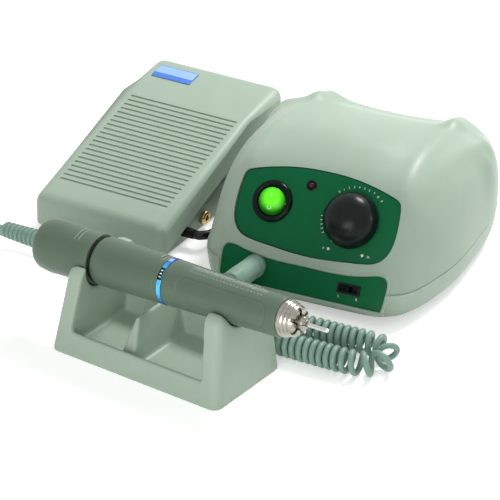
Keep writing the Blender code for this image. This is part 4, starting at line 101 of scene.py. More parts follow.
ORIGIN: Point = (0.0, 0.0, 0.0)
GAP = 0.0003
MERGE = 1e-6
LONGEST_EASE = 0.45
GLOSS_SPREAD = 0.05
COAT_ROUGHNESS = 0.08
SMOOTH_STEPS = 40
PURE_WHITE = (1.0, 1.0, 1.0, 1.0)
PRINT_SIZE = 0.0019
LETTER_SIZE = 0.0022
PRINT_LIFT = 0.00004
PRINT_DEPTH = 0.00002
CAP_REAR = -0.0850
BACK_FACE = 0.1078
INLET_PLACE = (0.0260, -0.0300)
REAR_SOCKET_PLACE = (-0.0280, -0.0220)
COLLAR_HEIGHT = 0.0032
BARREL_RADIUS = 0.01325


class Body(str, Enum):
    """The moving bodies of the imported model."""

    STATION = "station"
    ROCKER = "rocker"
    KNOB = "knob"
    SLIDER = "slider"
    GRIP = "grip"
    SPINDLE = "spindle"
    BUR = "bur"
    TREADLE = "treadle"


def frame_at(location: Point, angles: Point = ORIGIN, parent: Optional[Array] = None) -> Array:
    """Build a frame from a place and turns about X, Y and Z in degrees.

    Args:
        location: the frame's origin, in its parent.
        angles: turns about X, then Y, then Z, in degrees.
        parent: the frame that it stands in, or None for the table.

    Returns:
        A 4 by 4 matrix to the table's frame.
    """
    turn = Euler([math.radians(angle) for angle in angles]).to_matrix().to_4x4()
    local = np.array(Matrix.Translation(Vector(location)) @ turn)
    return local if parent is None else parent @ local


def placed(points: Array, frame: Array) -> Array:
    """Carry points from a frame to the table: rotated by its axes, then moved by its origin."""
    return np.asarray(points, float) @ frame[:3, :3].T + frame[:3, 3]


def round_spot(radius: float, angle: float) -> Tuple[float, float]:
    """The point of a circle at an angle in radians from X."""
    return radius * math.cos(angle), radius * math.sin(angle)


BOX = frame_at((0.0522, 0.0240, 0.0040))
PANEL = frame_at((0.0, -0.0326, 0.0243), (56.0, 0.0, 0.0), BOX)
STRIP = frame_at((0.0, -0.0428, 0.0044), (63.0, 0.0, 0.0), BOX)
SOCKET = frame_at((-0.0300, 0.0102, 0.0), (17.0, 0.0, 0.0), STRIP)
BACK = frame_at((0.0, BACK_FACE, 0.0), (-90.0, 0.0, 0.0), BOX)
REAR_SOCKET = frame_at((*REAR_SOCKET_PLACE, 0.0), parent=BACK)
CRADLE = frame_at((0.0086, -0.1004, 0.0), (0.0, 0.0, -10.9))
HAND = frame_at((0.0, 0.0, 0.0498), (0.0, 87.4, 0.0), CRADLE)
PEDAL = frame_at((-0.0384, 0.0420, 0.0), (0.0, 0.0, -4.7))


# Finishes


@dataclass
class Graph:
    """A node tree that is being laid, node by node."""

    tree: bpy.types.NodeTree

    def feed(self, node: bpy.types.Node, inputs: Dict[Union[int, str], object]) -> None:
        """Fill a node's inputs: a socket is linked, a value is stored.

        Args:
            node: the node.
            inputs: what goes into each input, by its name or number.
        """
        for key, source in inputs.items():
            if isinstance(source, bpy.types.NodeSocket):
                self.tree.links.new(source, node.inputs[key])
            else:
                node.inputs[key].default_value = source

    def node(self, kind: str, inputs: Dict[Union[int, str], object], operation: str = "") -> bpy.types.Node:
        """Add a node and fill its inputs.

        Args:
            kind: its type, without the leading ShaderNode.
            inputs: what goes into each input.
            operation: what a maths node works out.

        Returns:
            The node.
        """
        node = self.tree.nodes.new("ShaderNode" + kind)
        if operation:
            node.operation = operation
        self.feed(node, inputs)
        return node

    def ramp(self, share: bpy.types.NodeSocket, *stops: Tuple[float, Point]) -> bpy.types.NodeSocket:
        """Turn a share into a colour between two stops.

        Args:
            share: the socket with the share.
            stops: the position and the colour of both stops.

        Returns:
            The socket with the colour.
        """
        node = self.node("ValToRGB", {"Fac": share})
        for element, (position, colour) in zip(node.color_ramp.elements, stops):
            element.position = position
            element.color = (*colour, 1.0)
        return node.outputs["Color"]


@dataclass(frozen=True)
class Finish:
    """A finish made of nodes: a colour with soft mottling, a fine grain in the relief and an uneven gloss."""

    name: str
    colour: Point
    roughness: float = 0.45
    metallic: float = 0.0
    mottle: float = 0.05
    mottle_size: float = 0.012
    grain: float = 0.00002
    grain_size: float = 0.0005
    stretch: Point = (1.0, 1.0, 1.0)
    coat: float = 0.0
    glow: float = 0.0
    specular: float = 0.35
    slot: str = ""

    def nodes(self, material: bpy.types.Material) -> bpy.types.Node:
        """Lay the mottling, gloss and grain nodes in a material.

        Args:
            material: the material to fill.

        Returns:
            Its shader.
        """
        graph = Graph(material.node_tree)
        shader = graph.tree.nodes["Principled BSDF"]
        place = graph.node("TexCoord", {})
        mapping = graph.node("Mapping", {"Vector": place.outputs["Object"], "Scale": self.stretch})
        across = mapping.outputs["Vector"]
        cloud = graph.node("TexNoise", {"Vector": across, "Scale": 1.0 / self.mottle_size, "Detail": 5.0})
        share = cloud.outputs["Fac"]
        dark = tuple(c * (1.0 - self.mottle) for c in self.colour)
        light = tuple(min(1.0, c * (1.0 + self.mottle)) for c in self.colour)
        tint = graph.ramp(share, (0.30, dark), (0.70, light))
        least, most = max(0.02, self.roughness - GLOSS_SPREAD), min(1.0, self.roughness + GLOSS_SPREAD)
        gloss = graph.node("MapRange", {"Value": share, "To Min": least, "To Max": most})
        grain = graph.node("TexNoise", {"Vector": across, "Scale": 1.0 / self.grain_size, "Detail": 3.0})
        relief = graph.node("Bump", {"Height": grain.outputs["Fac"], "Strength": 0.6, "Distance": self.grain})
        graph.feed(shader, {
            "Base Color": tint, "Roughness": gloss.outputs["Result"], "Normal": relief.outputs["Normal"],
            "Metallic": self.metallic, "Specular IOR Level": self.specular,
            "Coat Weight": self.coat, "Coat Roughness": COAT_ROUGHNESS,
        })
        if self.glow:
            graph.feed(shader, {"Emission Color": tint, "Emission Strength": self.glow})
        return shader

    def material(self) -> bpy.types.Material:
        """Return the finish's material, made on first use."""
        title = "finish_" + self.name
        found = bpy.data.materials.get(title)
        if found is None:
            found = bpy.data.materials.new(title)
            found.use_nodes = True
            self.nodes(found)
        return found


@dataclass(frozen=True)
class LensFinish(Finish):
    """A colour graded round a spot, bright at the spot and darker towards its rim. On the blue ring this is a
    painted highlight; on the lit switch the bright middle follows the lens's own glow and the darker rim is
    painted shade from the bezel.
    """

    centre: Point = ORIGIN
    reach: float = 0.008
    rim_colour: Point = (0.0, 0.1, 0.0)

    def nodes(self, material: bpy.types.Material) -> bpy.types.Node:
        """Lay a spherical gradient round the spot over the plain finish, into the base and the emission
        colour.

        Args:
            material: the material to fill.

        Returns:
            Its shader.
        """
        shader = super().nodes(material)
        graph = Graph(material.node_tree)
        place = graph.node("TexCoord", {})
        away = graph.node("VectorMath", {0: place.outputs["Object"], 1: self.centre}, "DISTANCE")
        share = graph.node("MapRange", {"Value": away.outputs["Value"], "From Max": self.reach})
        # Painted light: the colour runs from the bright spot to the darker rim colour.
        tint = graph.ramp(share.outputs["Result"], (0.45, self.colour), (1.0, self.rim_colour))
        graph.feed(shader, {"Base Color": tint, "Emission Color": tint})
        return shader


SHELL = Finish("shell_plastic", (0.368, 0.462, 0.370), 0.42, mottle=0.02, specular=0.30, slot="shell_plastic")
HANDLE = Finish(
    "handle_plastic", (0.098, 0.148, 0.101), 0.40, mottle=0.04, grain=0.00003, slot="grip_plastic",
)
CORD = Finish("cord_rubber", (0.205, 0.330, 0.270), 0.38, mottle=0.06, mottle_size=0.004, slot="cord_rubber")
PLUG = Finish("plug_rubber", (0.245, 0.375, 0.308), 0.42, mottle=0.04, mottle_size=0.004, slot="cord_rubber")
PANEL_FILM = Finish(
    "panel_film", (0.0030, 0.128, 0.044), 0.34, mottle=0.03, grain_size=0.0003, specular=0.10,
    slot="panel_green",
)
WHITE_PRINT = Finish("white_print", (0.85, 0.90, 0.86), 0.55, mottle=0.02, slot="panel_green")
BLACK = Finish(
    "black_plastic", (0.003, 0.006, 0.005), 0.20, mottle=0.10, grain=0.000005, specular=0.12,
    slot="black_plastic",
)
KNOB_BLACK = Finish(
    "knob_black", (0.005, 0.009, 0.008), 0.28, mottle=0.10, grain=0.000008, specular=0.16,
    slot="black_plastic",
)
BLACK_SATIN = Finish(
    "black_satin", (0.006, 0.008, 0.007), 0.42, mottle=0.10, specular=0.15, slot="black_plastic",
)
RUBBER = Finish(
    "black_rubber", (0.008, 0.008, 0.008), 0.55, mottle=0.15, grain=0.00005, specular=0.15,
    slot="black_rubber",
)
CABLE = Finish("cable_sheath", (0.005, 0.006, 0.006), 0.26, mottle=0.10, specular=0.30, slot="black_rubber")
CHROME = Finish(
    "nozzle_chrome", (0.33, 0.32, 0.27), 0.20, 1.0, mottle=0.16, stretch=(1.0, 9.0, 9.0),
    slot="nozzle_chrome",
)
STEEL = Finish(
    "ground_steel", (0.55, 0.55, 0.53), 0.26, 1.0, mottle=0.08, stretch=(8.0, 1.0, 8.0), slot="steel",
)
BRASS = Finish("turned_brass", (0.62, 0.44, 0.20), 0.22, 1.0, mottle=0.10, slot="brass")
# Painted highlight: the ring's blue is graded from a bright cyan-blue spot on the side towards the camera to
# deep blue away from it.
BLUE_PAINTED_HIGHLIGHT = LensFinish(
    "blue_anodised_painted_highlight", (0.090, 0.560, 0.930), 0.22, 0.30, mottle=0.12, mottle_size=0.003, slot="blue_metal",
    centre=tuple(placed((*round_spot(BARREL_RADIUS, -1.98), 0.0052), HAND).tolist()),
    reach=0.0150, rim_colour=(0.002, 0.060, 0.520),
)
LABEL = Finish("blue_label", (0.060, 0.200, 0.680), 0.35, mottle=0.10, mottle_size=0.020, slot="blue_label")
# Light blue: the printed band of the pedal's label, and the painted highlight strip on the lock ring.
LIGHT_BLUE_BAND_AND_HIGHLIGHT = Finish("light_blue_band_and_highlight", (0.330, 0.520, 0.850), 0.35, mottle=0.04, slot="blue_label")
COPPER = Finish(
    "copper_winding", (0.62, 0.24, 0.10), 0.35, 0.9, mottle=0.12, stretch=(1.0, 1.0, 30.0),
    slot="copper_winding",
)
BOARD = Finish("board_green", (0.015, 0.140, 0.050), 0.40, mottle=0.20, mottle_size=0.002, slot="board_green")
CORE = Finish(
    "core_steel", (0.20, 0.20, 0.21), 0.45, 0.8, mottle=0.15, stretch=(1.0, 1.0, 12.0), slot="core_steel",
)
LAMP_RED = Finish(
    "lamp_red", (0.070, 0.002, 0.006), 0.12, mottle=0.10, grain=0.000002, specular=0.25, slot="lens_red",
)
# The lens glows with its own lamp; the darker rim of its colour gradient is painted shade cast by the bezel.
SWITCH_GREEN = LensFinish(
    "switch_green_painted_rim_shade", (0.120, 0.860, 0.020), 0.15, grain=0.000005, glow=0.55, specular=0.10, slot="lens_green",
    centre=(0.0245, 0.0040, 0.0535), reach=0.0084, rim_colour=(0.002, 0.090, 0.001),
)

SLOT_FINISH: Dict[str, Finish] = {
    "shell_plastic": SHELL, "grip_plastic": HANDLE, "cord_rubber": CORD, "panel_green": PANEL_FILM,
    "lens_green": SWITCH_GREEN, "lens_red": LAMP_RED, "black_plastic": BLACK_SATIN, "black_rubber": RUBBER,
    "nozzle_chrome": CHROME, "steel": STEEL, "brass": BRASS, "blue_metal": BLUE_PAINTED_HIGHLIGHT, "blue_label": LABEL,
    "copper_winding": COPPER, "board_green": BOARD, "core_steel": CORE,
}


# Surfaces


@contextmanager
def edited(mesh: bpy.types.Mesh) -> Iterator[bmesh.types.BMesh]:
    """Open a mesh for edits and write them back at the end.

    Args:
        mesh: the mesh.

    Yields:
        Its editable form.
    """
    work = bmesh.new()
    work.from_mesh(mesh)
    yield work
    work.to_mesh(mesh)
    work.free()


def grid_faces(rows: int, columns: int, wrap_rows: bool = False, wrap_columns: bool = False) -> Array:
    """Quads between the neighbours of a grid of points, counted row by row.

    Args:
        rows: how many rows of points.
        columns: how many points in a row.
        wrap_rows: whether the last row meets the first.
        wrap_columns: whether each row is a closed loop.

    Returns:
        An array of four point numbers per quad.
    """
    index = np.arange(rows * columns).reshape(rows, columns)
    below = np.roll(index, -1, axis=0)
    quads = np.stack([index, np.roll(index, -1, axis=1), np.roll(below, -1, axis=1), below], axis=-1)
    quads = quads if wrap_rows else quads[:-1]
    quads = quads if wrap_columns else quads[:, :-1]
    return quads.reshape(-1, 4)


def mesh_of(points: Array, faces: Sequence[Sequence[int]]) -> bpy.types.Mesh:
    """Make a mesh, merge the points that coincide and turn its faces outwards.

    Args:
        points: an array of places.
        faces: the point numbers of each face.

    Returns:
        The mesh.
    """
    mesh = bpy.data.meshes.new("form")
    mesh.from_pydata(points.reshape(-1, 3).tolist(), [], [list(map(int, face)) for face in faces])
    with edited(mesh) as work:
        bmesh.ops.remove_doubles(work, verts=work.verts, dist=MERGE)
        bmesh.ops.dissolve_degenerate(work, dist=MERGE / 10, edges=work.edges)
        bmesh.ops.recalc_face_normals(work, faces=work.faces)
    return mesh


def linked(name: str, data: Optional[bpy.types.ID]) -> Object:
    """Put a mesh, a lamp or a camera in the scene as an object."""
    obj = bpy.data.objects.new(name, data)
    bpy.context.scene.collection.objects.link(obj)
    return obj


def modified(mesh: bpy.types.Mesh, *steps: Dict[str, object]) -> bpy.types.Mesh:
    """Run modifiers over a mesh.

    Args:
        mesh: the mesh to start from.
        steps: the type and the settings of each modifier.

    Returns:
        The new mesh.
    """
    helper = linked("helper", mesh)
    for step in steps:
        modifier = helper.modifiers.new("step", step["type"])
        for key, value in step.items():
            if key != "type":
                setattr(modifier, key, value)
    graph = bpy.context.evaluated_depsgraph_get()
    result = bpy.data.meshes.new_from_object(helper.evaluated_get(graph))
    bpy.data.objects.remove(helper, do_unlink=True)
    return result


def piece(
    name: str, mesh: bpy.types.Mesh, finish: Finish, body: Body, nodes: Sequence[str] = (),
    sharp: float = 38.0
) -> Object:
    """Put a mesh in the scene as a finished piece that rides on a body.

    Args:
        name: the piece's name.
        mesh: its mesh, in the table's frame.
        finish: its finish.
        body: the body that it rides on.
        nodes: the solids that it stands for.
        sharp: the edge angle in degrees from which the shading breaks.

    Returns:
        The object.
    """
    mesh.name = name
    obj = linked(name, mesh)
    mesh.materials.clear()
    mesh.materials.append(finish.material())
    mesh.shade_smooth()
    mesh.set_sharp_from_angle(angle=math.radians(sharp))
    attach(obj, body.value)
    if nodes:
        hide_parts(*nodes)
    LOG.info("%s: %d faces on %s", name, len(mesh.polygons), body.value)
    return obj


def eased(profile: Profile, radius: float, steps: int = 4, closed: bool = False) -> Array:
    """Round a profile's corners, each by the curve (1-t)^2 a + 2t(1-t) corner + t^2 b between its sides.

    Args:
        profile: points of (radius, height).
        radius: how far from a corner its curve starts, at most 0.45 of the side.
        steps: segments in each curve.
        closed: whether the last point joins the first.

    Returns:
        The rounded profile as an array.
    """
    points = np.asarray(profile, float)
    if closed:
        points = np.vstack([points[-1:], points, points[:1]])
    before, corner, after = points[:-2], points[1:-1], points[2:]

    def towards(other: Array) -> Array:
        """The place on the way from each corner to its neighbour where the curve starts."""
        way = other - corner
        reach = np.linalg.norm(way, axis=1, keepdims=True)
        return corner + way / reach * np.minimum(radius, LONGEST_EASE * reach)

    first, last = towards(before), towards(after)
    t = np.linspace(0.0, 1.0, steps + 1)[None, :, None]
    curve = (1 - t) ** 2 * first[:, None] + 2 * t * (1 - t) * corner[:, None] + t**2 * last[:, None]
    rounded = curve.reshape(-1, 2)
    return rounded if closed else np.vstack([points[:1], rounded, points[-1:]])


def turned(profile: Array, frame: Array, steps: int = 96, closed: bool = False) -> bpy.types.Mesh:
    """Turn a profile about the frame's Z: (r cos a, r sin a, h) for each angle a.

    Args:
        profile: points of (radius, height).
        frame: the frame that it stands in.
        steps: facets round the axis.
        closed: whether the profile is a closed ring, as on a sleeve.

    Returns:
        The mesh.
    """
    profile = np.asarray(profile, float)
    radius = np.broadcast_to(profile[:, :1], (len(profile), steps))
    return swept(radius, profile[:, 1:], frame, closed)


def swept(radius: Array, height: Array, frame: Array, closed: bool) -> bpy.types.Mesh:
    """A round form whose radius may differ with angle and height: (r cos a, r sin a, h).

    Args:
        radius: the radius, one row per height and one column per angle.
        height: one column of heights.
        frame: the frame that it stands in.
        closed: whether the last row joins the first.

    Returns:
        The mesh.
    """
    angles = np.linspace(0.0, math.tau, radius.shape[1], endpoint=False)
    tall = np.broadcast_to(height, radius.shape)
    points = np.stack([radius * np.cos(angles), radius * np.sin(angles), tall], axis=-1)
    return mesh_of(placed(points, frame), grid_faces(*radius.shape, closed, True))


def rod(radius: float, low: float, high: float, frame: Array, steps: int = 48) -> bpy.types.Mesh:
    """A plain cylinder of a radius between two heights of a frame, with this many facets round it."""
    return turned([(0.0, high), (radius, high), (radius, low), (0.0, low)], frame, steps)


def carried_sides(path: Array) -> Tuple[Array, Array]:
    """Two unit vectors square to a path at each point, each turned as little as may be from the last.

    Args:
        path: an array of places.

    Returns:
        The two arrays of vectors.
    """
    tangents = np.gradient(path, axis=0)
    tangents /= np.linalg.norm(tangents, axis=1)[:, None]
    side = np.cross(tangents[0], (0.0, 0.0, 1.0))
    sides = []
    for tangent in tangents:
        side = side - tangent * side.dot(tangent)
        side = side / np.linalg.norm(side)
        sides.append(side)
    chosen = np.array(sides)
    return chosen, np.cross(tangents, chosen)


def tube(path: Array, radius: float, sides: int = 12) -> bpy.types.Mesh:
    """A round tube: each path point plus radius times (side cos a + other sin a), with flat ends.

    Args:
        path: the places along its middle.
        radius: its radius.
        sides: facets round it.

    Returns:
        The mesh.
    """
    first, second = carried_sides(path)
    angles = np.linspace(0.0, math.tau, sides, endpoint=False)[None, :, None]
    return stacked(
        path[:, None] + radius * (first[:, None] * np.cos(angles) + second[:, None] * np.sin(angles)),
    )


def through(before: Array, here: Array, after: Array, beyond: Array, t: Array) -> Array:
    """The Catmull-Rom cubic from here to after, at each share t of the way.

    Args:
        before: the point before the span.
        here: the span's first point.
        after: the span's last point.
        beyond: the point after the span.
        t: shares from 0 to 1.

    Returns:
        The points of the curve.
    """
    return 0.5 * (
        2 * here + (after - before) * t + (2 * before - 5 * here + 4 * after - beyond) * t**2
        + (3 * here - before - 3 * after + beyond) * t**3
    )


def smooth_loop(points: Array, per_span: int) -> Array:
    """A closed Catmull-Rom loop: each span is a cubic with tangents half the chord across its ends.

    Args:
        points: the points that it goes through, in two columns.
        per_span: points made for each span.

    Returns:
        The points of the loop.
    """
    points = np.asarray(points, float)
    before, after, beyond = (np.roll(points, shift, axis=0)[:, None] for shift in (1, -1, -2))
    t = np.linspace(0.0, 1.0, per_span, endpoint=False)[None, :, None]
    return through(before, points[:, None], after, beyond, t).reshape(-1, points.shape[1])


def smooth_path(points: Array, spacing: float) -> Array:
    """Evenly spaced points on a Catmull-Rom curve through a route, with further columns carried linearly.

    Args:
        points: rows of x, y, z and any further columns.
        spacing: the distance wanted between points.

    Returns:
        The rows along the curve.
    """
    route = np.asarray(points, float)
    place = route[:, :3]
    padded = np.vstack([2 * place[0] - place[1], place, 2 * place[-1] - place[-2]])
    t = np.linspace(0.0, 1.0, SMOOTH_STEPS, endpoint=False)[None, :, None]
    dense = through(*(padded[i : len(padded) - 3 + i][:, None] for i in range(4)), t)
    extra = route[:-1, None, 3:] * (1 - t) + route[1:, None, 3:] * t
    rows = np.concatenate([dense, extra], axis=2).reshape(-1, route.shape[1])
    rows = np.vstack([rows, route[-1:]])
    along = walked(rows)
    wanted = np.linspace(0.0, along[-1], max(2, int(round(along[-1] / spacing)) + 1))
    return np.stack([np.interp(wanted, along, column) for column in rows.T], axis=1)


def walked(rows: Array) -> Array:
    """How far each point of a path lies along it, from the sum of its steps."""
    return np.concatenate([[0.0], np.cumsum(np.linalg.norm(np.diff(rows[:, :3], axis=0), axis=1))])


def curled(route: Array, spacing: float, points_per_curl: int) -> Array:
    """Wind a route into a helix: path(w) + radius(w) (side cos 2 pi w + other sin 2 pi w), w in curls.

    Args:
        route: rows of x, y, z, pitch and coil radius.
        spacing: how finely the route is walked.
        points_per_curl: points in one curl.

    Returns:
        The helix's points.
    """
    fine = smooth_path(route, spacing)
    path, pitch, radius = fine[:, :3], fine[:, 3], fine[:, 4]
    steps = np.linalg.norm(np.diff(path, axis=0), axis=1)
    curls = np.concatenate([[0.0], np.cumsum(steps * 2 / (pitch[1:] + pitch[:-1]))])
    sides, others = carried_sides(path)
    wanted = np.linspace(0.0, curls[-1], int(round(curls[-1] * points_per_curl)) + 1)

    def along(values: Array) -> Array:
        """The values at the wanted counts of curls."""
        return np.stack([np.interp(wanted, curls, column) for column in values.T], axis=1)

    angle = (wanted * math.tau)[:, None]
    offset = along(sides) * np.cos(angle) + along(others) * np.sin(angle)
    offset /= np.linalg.norm(offset, axis=1)[:, None]
    return along(path) + offset * np.interp(wanted, curls, radius)[:, None]


def spline_basis(f: Array) -> Tuple[Array, Array, Array, Array]:
    """The four weights of a uniform cubic B-spline at each share f of a span."""
    return (1 - f) ** 3 / 6, (3 * f**3 - 6 * f**2 + 4) / 6, (-3 * f**3 + 3 * f**2 + 3 * f + 1) / 6, f**3 / 6


def spline_weights(count: int, per_span: int) -> Array:
    """Uniform cubic B-spline weights over a row of control points, mirrored past its ends.

    Args:
        count: how many control points.
        per_span: samples between two of them.

    Returns:
        One row of weights per sample.
    """
    spans = count - 1
    t = np.linspace(0.0, spans, spans * per_span + 1)
    first = np.minimum(t.astype(int), spans - 1)
    weights = np.zeros((len(t), count + 2))
    weights[
        np.arange(len(t))[:, None], first[:, None] + np.arange(4),
    ] = np.stack(spline_basis(t - first), axis=1)
    weights[:, 1] += 2 * weights[:, 0]
    weights[:, 2] -= weights[:, 0]
    weights[:, -2] += 2 * weights[:, -1]
    weights[:, -3] -= weights[:, -1]
    return weights[:, 1:-1]


def closed_spline(points: Array, per_span: int) -> Array:
    """A closed uniform cubic B-spline over control points, the same weights going round the loop.

    Args:
        points: control points, one per row.
        per_span: samples between two of them.

    Returns:
        The samples.
    """
    f = np.linspace(0.0, 1.0, per_span, endpoint=False)[None, :, None]
    turned_points = (np.roll(points, shift, axis=0)[:, None] for shift in (1, 0, -1, -2))
    result = sum(weight * rolled for weight, rolled in zip(spline_basis(f), turned_points))
    return result.reshape(-1, points.shape[1])


def stacked(rings: Array) -> bpy.types.Mesh:
    """A closed solid from a stack of loops with equal counts, capped flat at both ends.

    Args:
        rings: an array of loops of places.

    Returns:
        The mesh.
    """
    count, around = rings.shape[:2]
    caps = [range(around), range((count - 1) * around, count * around)]
    return mesh_of(rings, [*grid_faces(count, around, False, True), *caps])


def normals(loop: Array) -> Array:
    """Unit vectors square to a flat loop at each of its points, to the right of its way."""
    along = np.roll(loop, -1, axis=0) - np.roll(loop, 1, axis=0)
    along /= np.linalg.norm(along, axis=1)[:, None]
    return np.stack([along[:, 1], -along[:, 0]], axis=1)


def plate(outline: Array, low: float, high: float, frame: Array, edge: float = 0.0) -> bpy.types.Mesh:
    """A flat plate with this outline, its upper edge eased by a quarter round of the edge size.

    Args:
        outline: points in the frame's plane.
        low: the height of its underside.
        high: the height of its face.
        frame: the frame that it stands in.
        edge: the radius of the eased edge.

    Returns:
        The mesh.
    """
    x, y = outline.T
    inwards = normals(outline) * (-1.0 if np.sum(x * np.roll(y, -1) - y * np.roll(x, -1)) > 0 else 1.0)
    turns = np.linspace(0.0, math.pi / 2, 5) if edge else np.array([0.0])
    levels = [(0.0, low)] + [(edge * (1 - math.cos(a)), high - edge * (1 - math.sin(a))) for a in turns]
    rings = [np.column_stack([outline + inwards * d, np.full(len(outline), z)]) for d, z in levels]
    return stacked(placed(np.array(rings), frame))


def rectangle(width: float, height: float, radius: float, steps: int = 6) -> Array:
    """A rectangle with rounded corners round the origin: a quarter circle at each corner.

    Args:
        width: its size along X.
        height: its size along Y.
        radius: the radius of its corners.
        steps: segments in each corner.

    Returns:
        Its outline.
    """
    angles = np.arange(4)[:, None] * math.pi / 2 + np.linspace(0.0, math.pi / 2, steps + 1)[None]
    middle = np.array([(1, 1), (-1, 1), (-1, -1), (1, -1)], float) * (width / 2 - radius, height / 2 - radius)
    return (middle[:, None] + radius * np.stack([np.cos(angles), np.sin(angles)], axis=-1)).reshape(-1, 2)


def combined(
    mesh: bpy.types.Mesh, others: Sequence[bpy.types.Mesh], operation: str = "DIFFERENCE",
) -> bpy.types.Mesh:
    """Cut other meshes out of a mesh, or join them to it.

    Args:
        mesh: the mesh that is changed.
        others: the meshes that cut it.
        operation: DIFFERENCE or UNION.

    Returns:
        The new mesh.
    """
    helpers = [linked("helper", other) for other in others]
    settings = {"type": "BOOLEAN", "operation": operation, "solver": "EXACT"}
    result = modified(mesh, *({**settings, "object": helper} for helper in helpers))
    for helper in helpers:
        bpy.data.objects.remove(helper, do_unlink=True)
    return result


def joined(meshes: Sequence[bpy.types.Mesh]) -> bpy.types.Mesh:
    """Put several meshes into one new mesh."""
    result = bpy.data.meshes.new("joined")
    with edited(result) as work:
        for mesh in meshes:
            work.from_mesh(mesh)
    return result


def lettering(
    text: str, size: float, place: Tuple[float, float], frame: Array, turn: float = 0.0,
) -> bpy.types.Mesh:
    """Plain printed characters as a thin mesh, centred on a place in the frame's plane.

    Args:
        text: the characters.
        size: their height.
        place: where their middle is.
        frame: the frame that they are printed in.
        turn: a turn in degrees in the frame's plane.

    Returns:
        The mesh.
    """
    curve = bpy.data.curves.new("print", "FONT")
    curve.body = text
    curve.size = size
    curve.align_x = "CENTER"
    curve.align_y = "CENTER"
    curve.extrude = PRINT_DEPTH
    helper = bpy.data.objects.new("print", curve)
    mesh = bpy.data.meshes.new_from_object(helper)
    bpy.data.objects.remove(helper, do_unlink=True)
    local = frame_at((*place, PRINT_LIFT), (0.0, 0.0, turn), frame)
    mesh.transform(Matrix(local.tolist()))
    mesh.materials.clear()
    return mesh


# Camera and cords


@dataclass
class Studio:
    """The camera, the lamps, the floor and the air of the room."""

    target: Point = (-0.0017, 0.0305, 0.0)
    way_to_camera: Point = (0.3724, -0.7914, 0.4848)
    distance: float = 1.890
    lens: float = 232.5
    sensor: float = 36.0
    nearest: float = 0.05
    brightest_way: Point = (0.15, 0.45, 0.88)
    least_ambient: float = 0.30
    most_ambient: float = 0.62
    floor_reach: float = 6.0
    floor_colour: Tuple[float, ...] = (0.86, 0.87, 0.86, 1.0)
    floor_roughness: float = 0.6
    floor_glow: float = 0.44
    lamps: Tuple[Tuple[str, Point, Point, float, float], ...] = (
        ("top_lamp", (0.20, 0.80, 1.02), (0.02, 0.02, 0.05), 0.40, 13.5),
        ("front_lamp", (0.10, -0.90, 0.26), (0.02, -0.10, 0.03), 0.50, 3.0),
        ("side_lamp", (0.95, 0.40, 0.20), (0.05, 0.02, 0.05), 0.16, 0.5),
    )

    def camera(self) -> None:
        """Stand the camera where the photograph was taken from."""
        data = bpy.data.cameras.new("camera")
        data.lens = self.lens
        data.sensor_width = self.sensor
        data.clip_start = self.nearest
        obj = linked("camera", data)
        way = Vector(self.way_to_camera).normalized()
        obj.location = Vector(self.target) + way * self.distance
        obj.rotation_euler = way.to_track_quat("Z", "Y").to_euler()
        bpy.context.scene.camera = obj

    def lamp(self, name: str, place: Point, aim: Point, size: float, power: float) -> None:
        """Hang one round area lamp and aim it.

        Args:
            name: its name.
            place: where it hangs.
            aim: what it points at.
            size: its width.
            power: its power in watts.
        """
        data = bpy.data.lights.new(name, "AREA")
        data.energy = power
        data.shape = "DISK"
        data.size = size
        obj = linked(name, data)
        obj.location = place
        obj.rotation_euler = (Vector(place) - Vector(aim)).to_track_quat("Z", "Y").to_euler()

    def seen(self, graph: Graph) -> bpy.types.NodeSocket:
        """One where a ray comes from the camera, a reflection or glass, and zero elsewhere.

        Args:
            graph: the node tree to add to.

        Returns:
            The socket with that value.
        """
        path = graph.node("LightPath", {})
        total = path.outputs["Is Camera Ray"]
        for name in ("Is Glossy Ray", "Is Transmission Ray"):
            total = graph.node("Math", {0: total, 1: path.outputs[name]}, "MAXIMUM").outputs[0]
        return total

    def world(self) -> None:
        """Light the room most from above and behind, and show white to the camera and to reflections."""
        world = bpy.data.worlds.new("room")
        bpy.context.scene.world = world
        world.use_nodes = True
        graph = Graph(world.node_tree)
        base = graph.tree.nodes["Background"]
        place = graph.node("TexCoord", {})
        way = Vector(self.brightest_way).normalized()
        facing = graph.node("VectorMath", {0: place.outputs["Generated"], 1: way}, "DOT_PRODUCT")
        level = graph.node("MapRange", {
            "Value": facing.outputs["Value"], "From Min": -0.5,
            "To Min": self.least_ambient, "To Max": self.most_ambient,
        })
        graph.feed(base, {"Color": PURE_WHITE, "Strength": level.outputs["Result"]})
        white = graph.node("Background", {"Color": PURE_WHITE, "Strength": 1.0})
        mix = graph.node("MixShader", {0: self.seen(graph), 1: base.outputs[0], 2: white.outputs[0]})
        graph.feed(graph.tree.nodes["World Output"], {"Surface": mix.outputs[0]})

    def floor(self) -> None:
        """Lay a white floor that keeps a soft shadow and shows white where it is lit."""
        mesh = bpy.data.meshes.new("floor")
        reach = self.floor_reach
        places = [(-reach, -reach, 0.0), (reach, -reach, 0.0), (reach, reach, 0.0), (-reach, reach, 0.0)]
        mesh.from_pydata(places, [], [(0, 1, 2, 3)])
        obj = linked("floor", mesh)
        obj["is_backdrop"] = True
        material = bpy.data.materials.new("floor_white")
        material.use_nodes = True
        graph = Graph(material.node_tree)
        shader = graph.tree.nodes["Principled BSDF"]
        graph.feed(
            shader,
            {"Base Color": self.floor_colour, "Roughness": self.floor_roughness, "Specular IOR Level": 0.2},
        )
        strength = graph.node("Math", {0: self.seen(graph), 1: self.floor_glow}, "MULTIPLY")
        light = graph.node("Emission", {"Color": PURE_WHITE, "Strength": strength.outputs[0]})
        add = graph.node("AddShader", {0: shader.outputs[0], 1: light.outputs[0]})
        graph.feed(graph.tree.nodes["Material Output"], {"Surface": add.outputs[0]})
        mesh.materials.append(material)

    def build(self) -> None:
        """Set up the whole studio."""
        self.camera()
        self.world()
        self.floor()
        for row in self.lamps:
            self.lamp(*row)
        view = bpy.context.scene.view_settings
        view.view_transform = "Standard"


